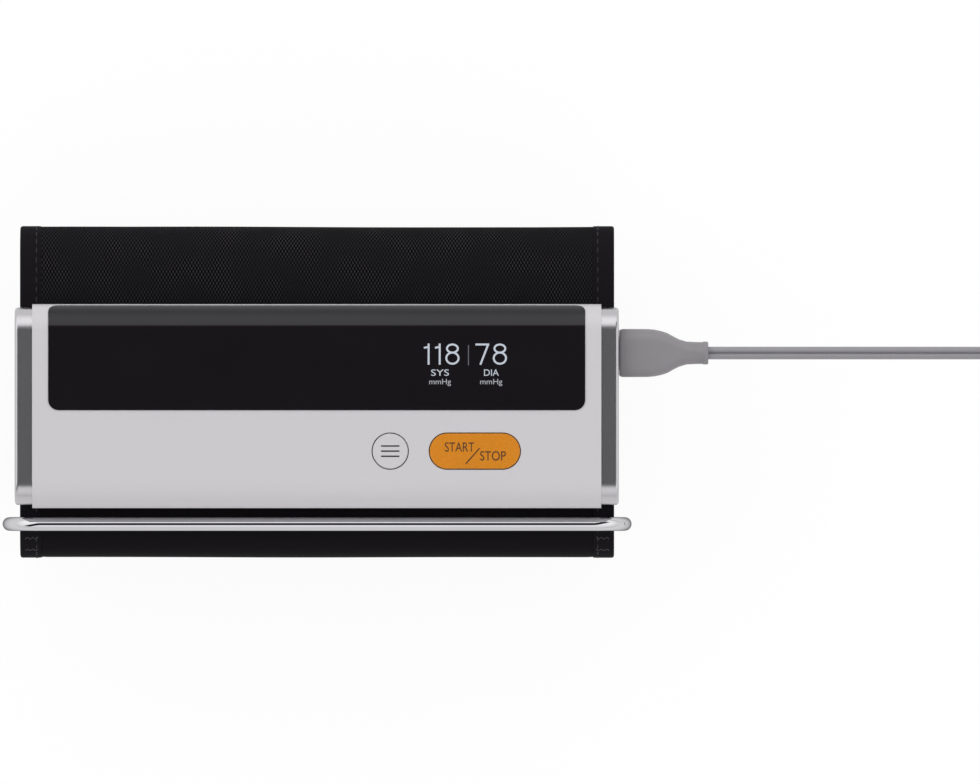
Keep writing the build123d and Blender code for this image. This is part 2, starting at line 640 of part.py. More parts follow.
# ---- Board and what it carries ----
def main_board():
    """Circuit board with an ear that carries the charging socket."""
    board = block(
        (BOARD_X[0], BOARD_Y[0], BOARD_BOTTOM),
        (BOARD_X[1], BOARD_Y[1], BOARD_TOP),
    )
    ear_x = (BOARD_X[1] - BOARD_EAR_ROOT, CAP_FACE_X - CAP_WALL - BOARD_END_GAP)
    board += block(
        (ear_x[0], PORT_Y - BOARD_EAR / 2, BOARD_BOTTOM),
        (ear_x[1], PORT_Y + BOARD_EAR / 2, BOARD_TOP),
    )
    for x, y in STANDOFFS:
        hole = (BOARD_BOTTOM - OVERCUT, BOARD_TOP + OVERCUT)
        board -= rod_z(SCREW_RADIUS + SCREW_FIT, *hole, x, y)
    return board


def board_parts():
    """Bodies of the larger components, in a row along the board with equal gaps."""
    spare = BOARD_X[1] - BOARD_X[0] - sum(part[1] for part in BOARD_PARTS)
    gap = spare / (len(BOARD_PARTS) + 1)
    edge = BOARD_X[0]
    bodies = []
    for y, width, depth, height in BOARD_PARTS:
        place = Pos(edge + gap + width / 2, y, BOARD_TOP + height / 2)
        bodies.append(place * Box(width, depth, height))
        edge += gap + width
    return bodies


def switch_bodies():
    """Bodies of the two push switches, each with the bore its plunger slides in."""
    width, depth, height = SWITCH_SIZE
    bore_bottom = SWITCH_TOP - PLUNGER_DEPTH - BUTTON_TRAVEL - PLUNGER_END_GAP
    return [
        Pos(x, BUTTON_Y, BOARD_TOP + height / 2) * Box(width, depth, height)
        - rod_z(PLUNGER_RADIUS + PLUNGER_FIT, bore_bottom, SWITCH_TOP + OVERCUT, x, BUTTON_Y)
        for x in (MENU_X, START_X)
    ]


def nozzle_x(start, end):
    """Hose nozzle along X, on the air line."""
    return rod_x(NOZZLE_RADIUS, start, end, AIR_Y, AIR_Z)


def pressure_sensor():
    """Pressure sensor on the board, with its nozzle towards the manifold."""
    width, depth, height = SENSOR_SIZE
    body = Pos(SENSOR_X, AIR_Y, BOARD_TOP + height / 2) * Box(width, depth, height)
    side = SENSOR_X - width / 2
    return fillet(body.edges().group_by(Axis.Z)[-1], SENSOR_EDGE) + nozzle_x(side - NOZZLE_LENGTH, side)


def air_pump():
    """Diaphragm pump: round motor, square head and outlet nozzle."""
    motor = rod_x(PUMP_RADIUS, PUMP_START_X, PUMP_HEAD_START_X, AIR_Y, AIR_Z)
    end_x = PUMP_START_X - PUMP_END_LENGTH
    motor += rod_x(PUMP_END_RADIUS, end_x, PUMP_START_X, AIR_Y, AIR_Z)
    side = 2 * PUMP_RADIUS
    head_section = Pos(AIR_Y, AIR_Z) * RectangleRounded(side, side, PUMP_HEAD_CORNER)
    head = along_x(head_section, PUMP_HEAD_START_X, PUMP_END_X)
    return motor + head + nozzle_x(PUMP_END_X, PUMP_END_X + NOZZLE_LENGTH)


def bleed_valve():
    """Solenoid valve that lets the air out, with its nozzle towards the manifold."""
    width, depth, height = VALVE_SIZE
    base = FLOOR_Z + LAYER_GAP
    body = Pos(MANIFOLD_X, VALVE_Y, base + height / 2) * Box(width, depth, height)
    body = chamfer(body.edges().group_by(Axis.Z)[-1], VALVE_EDGE)
    side = VALVE_Y + depth / 2
    return body + rod_y(NOZZLE_RADIUS, side, side + NOZZLE_LENGTH, MANIFOLD_X, AIR_Z)


def air_manifold():
    """Block that joins pump, valve, sensor and cuff, with a nozzle for each hose."""
    half = MANIFOLD_SIZE / 2
    base = FLOOR_Z + LAYER_GAP
    body = block(
        (MANIFOLD_X - half, AIR_Y - half, base),
        (MANIFOLD_X + half, AIR_Y + half, AIR_Z + half),
    )
    body = fillet(body.edges().filter_by(Axis.Z), MANIFOLD_CORNER)
    body += nozzle_x(MANIFOLD_X - half - NOZZLE_LENGTH, MANIFOLD_X + half + NOZZLE_LENGTH)
    body += rod_y(NOZZLE_RADIUS, AIR_Y - half - NOZZLE_LENGTH, AIR_Y, MANIFOLD_X, AIR_Z)
    return body - nipple_hole(base - OVERCUT, base + NIPPLE_SEAT)


def air_nipple():
    """Tube from the manifold through the housing and fabric into the bladder."""
    low = LOOP_HEIGHT - BLADDER_FACE - BLADDER_THICKNESS / 2 + LAYER_GAP
    high = FLOOR_Z + NIPPLE_SEAT
    tube = rod_z(NIPPLE_RADIUS, low, high, MANIFOLD_X, AIR_Y)
    return tube - rod_z(NIPPLE_BORE, low - OVERCUT, high + OVERCUT, MANIFOLD_X, AIR_Y)


def hose_x(start, end):
    """Straight air hose along X, pushed over the nozzle at each end."""
    hose = rod_x(HOSE_RADIUS, start, end, AIR_Y, AIR_Z)
    return hose - rod_x(NOZZLE_RADIUS + HOSE_FIT, start - OVERCUT, end + OVERCUT, AIR_Y, AIR_Z)


def pump_hose():
    """Hose from the pump to the manifold."""
    return hose_x(PUMP_END_X + LAYER_GAP, MANIFOLD_X - MANIFOLD_SIZE / 2 - LAYER_GAP)


def sensor_hose():
    """Hose from the manifold to the pressure sensor."""
    end = SENSOR_X - SENSOR_SIZE[0] / 2 - LAYER_GAP
    return hose_x(MANIFOLD_X + MANIFOLD_SIZE / 2 + LAYER_GAP, end)


def valve_hose():
    """Hose from the valve to the manifold."""
    start = VALVE_Y + VALVE_SIZE[1] / 2 + LAYER_GAP
    end = AIR_Y - MANIFOLD_SIZE / 2 - LAYER_GAP
    hose = rod_y(HOSE_RADIUS, start, end, MANIFOLD_X, AIR_Z)
    bore = rod_y(NOZZLE_RADIUS + HOSE_FIT, start - OVERCUT, end + OVERCUT, MANIFOLD_X, AIR_Z)
    return hose - bore


def battery():
    """Rechargeable cell on the floor of the housing."""
    length, depth, height = BATTERY_SIZE
    base = FLOOR_Z + LAYER_GAP
    cell = block(
        (BATTERY_START_X, BATTERY_Y - depth / 2, base),
        (BATTERY_START_X + length, BATTERY_Y + depth / 2, base + height),
    )
    return fillet(cell.edges().filter_by(Axis.X), BATTERY_EDGE)


def housing_screws():
    """Screws from behind that hold the covers together."""
    head_z = LOOP_HEIGHT + SCREW_SINK
    head_height = SCREW_HEAD_HEIGHT - SCREW_SINK - LAYER_GAP
    tip = CEILING_Z - WALL - SCREW_END_GAP
    return [screw(x, y, head_z, tip, head_height) for x, y in boss_places()]


def board_screws():
    """Screws that hold the board on its standoffs, heads up."""
    tip = SCREW_HEAD_HEIGHT + BOARD_THICKNESS + BOARD_SCREW_GRIP
    upright = screw(0, 0, 0, tip, SCREW_HEAD_HEIGHT)
    top = BOARD_TOP + SCREW_HEAD_HEIGHT
    return [Pos(x, y, top) * Rot(180, 0, 0) * upright for x, y in STANDOFFS]


def mount_screws():
    """Screws from inside the cuff that hold the monitor to the mounting plate."""
    head_z = PLATE_BOTTOM - MOUNT_HEAD_HEIGHT
    tip = FLOOR_Z + MOUNT_BOSS_HEIGHT - MOUNT_BOSS_ROOF - SCREW_END_GAP
    places = [(side * MOUNT_X, y) for side in (-1, 1) for y in MOUNT_Y]
    return [screw(x, y, head_z, tip, MOUNT_HEAD_HEIGHT) for x, y in places]


# ---- Charging socket, plug and lead ----
def port_tube(size, grow, wall, start, end):
    """Flat-sided tube of the charging connector, closed by nothing at either end."""
    width, height = (side + 2 * grow for side in size)
    outer = Pos(PORT_Y, PORT_Z) * SlotOverall(width, height)
    inner = Pos(PORT_Y, PORT_Z) * SlotOverall(width - 2 * wall, height - 2 * wall)
    return along_x(outer - inner, start, end)


def usb_socket_shell():
    """Metal shell of the charging socket, closed at its back."""
    front = CAP_FACE_X - SOCKET_RECESS
    back = front - SOCKET_LENGTH
    shell = port_tube(SOCKET_SIZE, 0, SOCKET_WALL, back, front)
    return shell + port_tube(SOCKET_SIZE, 0, SOCKET_SIZE[1] / 2 - EPS, back, back + SOCKET_BACK)


def usb_socket_tongue():
    """Contact tongue in the middle of the socket."""
    length, width, height = CONTACT_SIZE
    start = CAP_FACE_X - SOCKET_RECESS - SOCKET_LENGTH + SOCKET_BACK
    return Pos(start + length / 2, PORT_Y, PORT_Z) * Box(length, width, height)


def usb_plug_shell():
    """Metal shell of the plug, which slides into the socket round the tongue."""
    grow = -SOCKET_WALL - PLUG_CLEARANCE
    return port_tube(SOCKET_SIZE, grow, PLUG_WALL, CAP_FACE_X - PLUG_REACH, CAP_FACE_X + BOOT_GAP)


def usb_plug_boot():
    """Overmoulded grip of the plug, drawn in to the strain relief."""
    sections = [
        Plane.YZ.offset(CAP_FACE_X + BOOT_GAP + x)
        * Pos(PORT_Y, PORT_Z)
        * RectangleRounded(width, height, radius)
        for x, width, height, radius in BOOT_SECTIONS
    ]
    return loft(sections[:2], ruled=True) + loft(sections[1:3], ruled=True) + loft(sections[2:])


def corner_radii(points):
    """Largest arc at each corner of a cable route that its two runs leave room for."""
    radii = []
    for start, corner, end in zip(points, points[1:], points[2:]):
        before = Vector(*corner) - Vector(*start)
        after = Vector(*end) - Vector(*corner)
        half_turn = math.radians(before.get_angle(after) / 2)
        radii.append(ARC_SHARE * min(before.length, after.length) / math.tan(half_turn))
    return radii


def cable_tube(name, points):
    """Tube along a cable route: straight runs joined by tangent arcs."""
    radii = corner_radii(points)
    path = FilletPolyline(*points, radius=radii)
    tube = sweep(Plane(path @ 0, z_dir=path % 0) * Circle(CABLE / 2), path=path)
    section_volume = math.pi * CABLE**2 / 4 * path.length
    print(name, "length", round(path.length, 1), "radii", [round(radius, 1) for radius in radii])
    print(name, "volume over section times length", round(tube.volume / section_volume, 5))
    return tube


def cable_coil():
    """Outer shape of the coiled cable, with the straight stubs where it enters and leaves."""
    x, y = COIL_CENTRE
    half = CABLE / 2
    low = COIL_LIFT
    profile = Polyline(
        (COIL_INNER_TURN - half, low),
        (COIL_OUTER_TURN + half, low),
        (COIL_OUTER_TURN + half, low + CABLE),
        (COIL_UPPER_TURN + half, low + CABLE),
        (COIL_UPPER_TURN + half, low + 2 * CABLE),
        (COIL_INNER_TURN - half, low + 2 * CABLE),
        close=True,
    )
    coil = Pos(x, y, 0) * revolve(Plane.XZ * make_face(profile), axis=Axis.Z)
    coil += rod_x(half, CABLE_ROUTE[-1][0], x, CABLE_ROUTE[-1][1], CABLE_ROUTE[-1][2])
    return coil + rod_y(half, TAIL_ROUTE[0][1], y, TAIL_ROUTE[0][0], TAIL_ROUTE[0][2])


def cable_tie():
    """Tie round the coil's bundle."""
    half_width = TIE_WIDTH / 2
    inner_x = math.sqrt((COIL_INNER_TURN - CABLE / 2) ** 2 - half_width**2) - TIE_GAP
    outer_x = COIL_OUTER_TURN + CABLE / 2 + TIE_GAP
    low = COIL_LIFT - TIE_GAP
    high = COIL_LIFT + 2 * CABLE + TIE_GAP
    wall = TIE_THICKNESS
    tie = block(
        (inner_x - wall, -half_width, low - wall),
        (outer_x + wall, half_width, high + wall),
    )
    tie = fillet(tie.edges().filter_by(Axis.Y), wall)
    tie -= block((inner_x, -half_width - OVERCUT, low), (outer_x, half_width + OVERCUT, high))
    return Pos(*COIL_CENTRE, 0) * Rot(0, 0, TIE_ANGLE) * tie


def charger_plug_body():
    """Overmoulded body of the charger plug, drawn in to its strain relief."""
    length, width, height = CHARGER_BODY
    x, y, _ = TAIL_ROUTE[-1]
    end_width, bend_width = CHARGER_BOOT_WAIST
    stations = [
        (0.0, end_width, end_width),
        (CHARGER_BOOT_BEND, bend_width, bend_width),
        (CHARGER_BOOT, width, height),
        (CHARGER_BOOT + length, width, height),
    ]
    sections = [
        Plane.YZ.offset(x - back) * Pos(y, CHARGER_Z) * RectangleRounded(wide, high, CHARGER_CORNER)
        for back, wide, high in stations
    ]
    spans = [loft(pair, ruled=True) for pair in zip(sections, sections[1:])]
    return spans[0] + spans[1] + spans[2]


def charger_plug_shell():
    """Metal shell of the charger plug with its two latch holes."""
    length, width, height = CHARGER_SHELL
    start = TAIL_ROUTE[-1][0] - CHARGER_BOOT - CHARGER_BODY[0]
    y = TAIL_ROUTE[-1][1]
    z = CHARGER_Z
    tube = block((start - length, y - width / 2, z - height / 2), (start, y + width / 2, z + height / 2))
    tube = fillet(tube.edges().filter_by(Axis.X), CHARGER_SHELL_CORNER)
    wall = CHARGER_SHELL_WALL
    tube -= block(
        (start - length - OVERCUT, y - width / 2 + wall, z - height / 2 + wall),
        (start - CHARGER_CONTACTS_BACK, y + width / 2 - wall, z + height / 2 - wall),
    )
    for side in (-1, 1):
        hole = Pos(start - length / 2, y + side * width / 4, z + height / 2)
        tube -= hole * Box(*LATCH_HOLE, 4 * wall)
    return tube


def charger_plug_tongue():
    """Contact block inside the charger plug's shell."""
    length, width, height = CHARGER_CONTACTS
    start = TAIL_ROUTE[-1][0] - CHARGER_BOOT - CHARGER_BODY[0] - CHARGER_CONTACTS_BACK
    y = TAIL_ROUTE[-1][1]
    z = CHARGER_Z - CHARGER_SHELL[2] / 2 + CHARGER_SHELL_WALL
    return block((start - length, y - width / 2, z), (start, y + width / 2, z + height))


# ---- The whole object ----
def nodes():
    """Every named piece of the monitor, its cuff and its charging lead."""
    return {
        "front_cover": front_cover(),
        "rear_cover": rear_cover(),
        "end_cap_left": end_cap(-1),
        "end_cap_right": end_cap(1),
        "display_window": window_shape(0, WINDOW_PROUD),
        "display_module": display_module(),
        "menu_button": button(MENU_X, MENU_LENGTH),
        "menu_plunger": plunger(MENU_X),
        "start_button": button(START_X, START_LENGTH),
        "start_plunger": plunger(START_X),
        "switch_bodies": switch_bodies(),
        "main_board": main_board(),
        "board_parts": board_parts(),
        "pressure_sensor": pressure_sensor(),
        "air_pump": air_pump(),
        "bleed_valve": bleed_valve(),
        "air_manifold": air_manifold(),
        "air_nipple": air_nipple(),
        "pump_hose": pump_hose(),
        "valve_hose": valve_hose(),
        "sensor_hose": sensor_hose(),
        "battery": battery(),
        "housing_screws": housing_screws(),
        "board_screws": board_screws(),
        "mount_screws": mount_screws(),
        "usb_socket_shell": usb_socket_shell(),
        "usb_socket_tongue": usb_socket_tongue(),
        "cuff_outer_fabric": cuff_outer_fabric(),
        "cuff_stiffener": cuff_stiffener(),
        "mounting_plate": mounting_plate(),
        "air_bladder": air_bladder(),
        "cuff_lining": cuff_lining(),
        "edge_binding_left": edge_binding(cuff_route(SEAM_Y, CUFF_END_Z), CUFF_THICKNESS, -1),
        "edge_binding_right": edge_binding(cuff_route(SEAM_Y, CUFF_END_Z), CUFF_THICKNESS, 1),
        "closing_strap": closing_strap(),
        "strap_binding_left": edge_binding(strap_route(), STRAP_THICKNESS, -1),
        "strap_binding_right": edge_binding(strap_route(), STRAP_THICKNESS, 1),
        "hook_patch": hook_patch(),
        "ring_sleeve": ring_sleeve(),
        "d_ring": d_ring(),
        "usb_plug_shell": usb_plug_shell(),
        "usb_plug_boot": usb_plug_boot(),
        "charging_cable": cable_tube("charging_cable", CABLE_ROUTE),
        "cable_coil": cable_coil(),
        "cable_tail": cable_tube("cable_tail", TAIL_ROUTE),
        "cable_tie": cable_tie(),
        "charger_plug_body": charger_plug_body(),
        "charger_plug_shell": charger_plug_shell(),
        "charger_plug_tongue": charger_plug_tongue(),
    }


os.makedirs("parts", exist_ok=True)
for name, shape in nodes().items():
    solids = shape if isinstance(shape, list) else shape.solids()
    export_step(Compound(solids), f"parts/{name}.step")
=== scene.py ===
"""Looks of an upper arm blood pressure monitor, lying on its back with its charging lead plugged in.

X runs along the arm, Y towards the display's upper edge and Z up from the table. Lengths are in
metres, and MM turns millimetres into them. What repeats or bends is built from the same sizes as
the solids, whose places come from the frame.
"""

import logging
import math
from collections.abc import Callable, Iterator, Sequence
from contextlib import contextmanager
from dataclasses import dataclass
from enum import Enum
from functools import partial
from typing import Any

import bpy
from mathutils import Matrix, Vector


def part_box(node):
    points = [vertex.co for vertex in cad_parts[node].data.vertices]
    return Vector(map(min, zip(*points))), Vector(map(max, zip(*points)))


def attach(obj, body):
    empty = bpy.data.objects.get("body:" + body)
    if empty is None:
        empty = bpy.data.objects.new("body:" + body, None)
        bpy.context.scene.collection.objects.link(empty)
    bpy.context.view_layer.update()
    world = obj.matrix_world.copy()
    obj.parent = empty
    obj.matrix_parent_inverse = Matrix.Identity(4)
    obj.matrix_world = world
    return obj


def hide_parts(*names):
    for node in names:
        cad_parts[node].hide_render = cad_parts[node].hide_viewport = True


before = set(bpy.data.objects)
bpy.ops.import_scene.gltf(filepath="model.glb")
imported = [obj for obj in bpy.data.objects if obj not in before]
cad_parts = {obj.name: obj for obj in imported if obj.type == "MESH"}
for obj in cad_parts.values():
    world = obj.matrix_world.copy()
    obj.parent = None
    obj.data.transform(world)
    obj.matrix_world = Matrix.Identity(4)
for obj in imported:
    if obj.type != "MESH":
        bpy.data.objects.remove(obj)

LOG = logging.getLogger("monitor")
MM = 0.001
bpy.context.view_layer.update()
SHARP_DEG = 40.0  # edges with a larger angle stay sharp
MERGE = 0.01 * MM  # points closer than this become one
Point = tuple[float, float]
Section = tuple[float, float, float]
Spot = tuple[Sequence[float], Point]  # place in space, and place on the piece's own map
Inputs = Sequence[Any] | dict[str, Any]
Node = bpy.types.Node
Tree = bpy.types.NodeTree
Piece = bpy.types.Object


# ---- Shader nodes ----
def linear(colour: str, share: float = 1.0) -> tuple[float, float, float, float]:
    """Turns an sRGB hex colour into the linear colour that a shader takes.

    Args:
        colour: The colour as #RRGGBB.
        share: What its brightness is multiplied by.

    Returns:
        Linear red, green and blue up to 1, with alpha 1.
    """
    channels = [int(colour[place : place + 2], 16) / 255 for place in (1, 3, 5)]
    red, green, blue = (
        min(1.0, share * (value / 12.92 if value <= 0.04045 else ((value + 0.055) / 1.055) ** 2.4))
        for value in channels
    )
    return red, green, blue, 1.0


def fill(tree: Tree, node: Node, inputs: Inputs) -> None:
    """Sets the inputs of a node, or links them where a value is a node or a socket.

    Args:
        tree: Node tree that holds the node.
        node: The node.
        inputs: Values in the order of the inputs, or by their names. A node stands for its result.
    """
    for name, value in inputs.items() if isinstance(inputs, dict) else enumerate(inputs):
        if isinstance(value, Node):
            value = value.outputs[2 if getattr(value, "data_type", "") == "RGBA" else 0]
        if isinstance(value, bpy.types.NodeSocket):
            tree.links.new(value, node.inputs[name])
        else:
            node.inputs[name].default_value = value


def add_node(tree: Tree, kind: str, inputs: Inputs = (), **settings: Any) -> Node:
    """Adds a shader node with its settings and links.

    Args:
        tree: Node tree that takes the node.
        kind: Type of the node, without the words that all types start with.
        inputs: Its inputs, as fill takes them.
        settings: The node's own properties.

    Returns:
        The new node.
    """
    node = tree.nodes.new(f"ShaderNode{kind}")
    for name, value in settings.items():
        setattr(node, name, value)
    fill(tree, node, inputs)
    return node


@dataclass(frozen=True)
class Finish:
    """A material: what it is made of and how its surface was made."""

    name: str
    colour: str
    roughness: float

    def material(self) -> bpy.types.Material:
        """Makes the material.

        Returns:
            The new material.
        """
        material = bpy.data.materials.new(self.name)
        material.use_nodes = True
        tree = material.node_tree
        plain = {"Base Color": linear(self.colour), "Roughness": self.roughness}
        fill(tree, tree.nodes["Principled BSDF"], {**plain, **self.looks(tree)})
        return material

    def looks(self, tree: Tree) -> dict[str, Any]:
        """Inputs of the surface shader that differ from a plain colour and roughness."""
        return {}


@dataclass(frozen=True)
class Moulded(Finish):
    """Moulded, cast or plated surface with a fine grain."""

    grain_mm: float = 0.3
    relief_mm: float = 0.004
    mottle: float = 0.04  # share by which the colour rises and falls in slow clouds
    cloud_mm: float = 14.0
    ior: float = 1.5
    metallic: float = 0.0
    patchy: float = 0.12  # share by which the roughness rises and falls with the grain
    noise_ends: Point = (0.3, 0.7)  # values that nearly all of the grain lies between
    subsurface: float = 0.0
    edge_colour: str = "#FFFFFF"  # of a metal's reflection at a grazing angle

    def looks(self, tree: Tree) -> dict[str, Any]:
        """Grain as relief and roughness, and a faint mottle in the colour.

        Args:
            tree: Node tree of the material.

        Returns:
            Inputs of its surface shader, by name.
        """
        place = add_node(tree, "TexCoord").outputs["Object"]
        grains = {"Vector": place, "Scale": 1 / (self.grain_mm * MM), "Detail": 3.0, "Roughness": 0.6}
        grain = add_node(tree, "TexNoise", grains)
        clouds = {"Vector": place, "Scale": 1 / (self.cloud_mm * MM), "Detail": 4.0}
        low, high = (linear(self.colour, 1 + sign * self.mottle) for sign in (-1, 1))
        tints = {"Factor": add_node(tree, "TexNoise", clouds), "A": low, "B": high}
        rough = [min(self.roughness * (1 + sign * self.patchy), 1.0) for sign in (-1, 1)]
        relief = {"Height": grain, "Strength": 0.6, "Distance": self.relief_mm * MM}
        surface = {
            "Base Color": add_node(tree, "Mix", tints, data_type="RGBA"),
            "Roughness": add_node(tree, "MapRange", [grain, *self.noise_ends, *rough]),
            "Normal": add_node(tree, "Bump", relief),
            "Subsurface Weight": self.subsurface,
            "Subsurface Scale": 1.5 * MM,
        }
        if self.metallic:
            return {**surface, "Metallic": self.metallic, "Specular Tint": linear(self.edge_colour)}
        return {**surface, "IOR": self.ior}


@dataclass(frozen=True)
class Woven(Finish):
    """Cloth whose threads cross at a regular pitch, with painted shade in the gaps between them. It reads
    the piece's own map, in metres.
    """

    # Darker colour of the gaps between threads: painted shade in the weave's hollows
    gap_shade_colour: str = "#000000"
    across_mm: float = 0.8
    along_mm: float = 0.8
    relief_mm: float = 0.05
    sheen: float = 0.15
    wear_mm: float = 12.0
    least_contrast: float = 0.4
    crest: float = 1.0  # above 1, the raised threads get narrower than the gaps
    noise_ends: Point = (0.35, 0.65)  # values that most of the wear lies between

    def looks(self, tree: Tree) -> dict[str, Any]:
        """Weave as relief and as painted shade in the gaps between threads, uneven over the cloth, and the
        fibres' sheen.

        Args:
            tree: Node tree of the material.

        Returns:
            Inputs of its surface shader, by name.
        """
        where = add_node(tree, "TexCoord").outputs["UV"]
        axes = add_node(tree, "SeparateXYZ", [where]).outputs
        both: Any = 1.0
        for axis, pitch in (("X", self.across_mm), ("Y", self.along_mm)):
            if pitch:
                turn = add_node(tree, "Math", [axes[axis], math.tau / (pitch * MM)], operation="MULTIPLY")
                wave = add_node(tree, "Math", [turn], operation="COSINE")
                both = add_node(tree, "Math", [wave, both], operation="MULTIPLY")
        wear = {"Vector": where, "Scale": 1 / (self.wear_mm * MM), "Detail": 2.0}
        patch = add_node(tree, "TexNoise", wear)
        contrast = [patch, *self.noise_ends, 0.5 * self.least_contrast, 0.5]
        strength = add_node(tree, "MapRange", contrast)
        thread = add_node(tree, "Math", [both, strength, 0.5], operation="MULTIPLY_ADD")
        thread = add_node(tree, "Math", [thread, self.crest], operation="POWER")
        # Gaps get the darker colour where the threads sink: painted shade in the hollows of the weave
        tints = {"Factor": thread, "A": linear(self.gap_shade_colour), "B": linear(self.colour)}
        relief = {"Height": thread, "Strength": 0.7, "Distance": self.relief_mm * MM}
        return {
            "Base Color": add_node(tree, "Mix", tints, data_type="RGBA"),
            "Normal": add_node(tree, "Bump", relief),
            "Sheen Weight": self.sheen,
            "Sheen Roughness": 0.4,
            "Specular IOR Level": 0.02,
        }


@dataclass(frozen=True)
class Jacket(Finish):
    """Extruded soft PVC of a cable. It reads the piece's own map, in metres."""

    mark_mm: Point = (0.25, 9.0)  # width and length of a drag mark
    uneven: float = 0.08

    def looks(self, tree: Tree) -> dict[str, Any]:
        """Fine lengthwise drag marks that extrusion leaves.

        Args:
            tree: Node tree of the material.

        Returns:
            Inputs of its surface shader, by name.
        """
        where = add_node(tree, "TexCoord").outputs["UV"]
        scale = [1 / (size * MM) for size in self.mark_mm]
        stretched = add_node(tree, "Mapping", {"Vector": where, "Scale": (*scale, 1)})
        drag = add_node(tree, "TexNoise", {"Vector": stretched, "Scale": 1.0, "Detail": 2.0})
        rough = [drag, 0.0, 1.0, self.roughness - self.uneven, self.roughness + self.uneven]
        relief = {"Height": drag, "Strength": 0.4, "Distance": 0.02 * MM}
        return {
            "IOR": 1.53,
            "Roughness": add_node(tree, "MapRange", rough),
            "Normal": add_node(tree, "Bump", relief),
        }


@dataclass(frozen=True)
class Glow(Finish):
    """Lit segments of the display, a little uneven over their area."""

    strength: float = 1.0
    cell_mm: float = 0.6
    dimmest: float = 0.86

    def looks(self, tree: Tree) -> dict[str, Any]:
        """Light that the segments give.

        Args:
            tree: Node tree of the material.

        Returns:
            Inputs of its surface shader, by name.
        """
        place = add_node(tree, "TexCoord").outputs["Object"]
        cells = add_node(tree, "TexNoise", {"Vector": place, "Scale": 1 / (self.cell_mm * MM)})
        shades = {"Factor": cells, "A": linear(self.colour, self.dimmest), "B": linear(self.colour)}
        return {
            "Base Color": linear("#101214"),
            "Emission Color": add_node(tree, "Mix", shades, data_type="RGBA"),
            "Emission Strength": self.strength,
        }


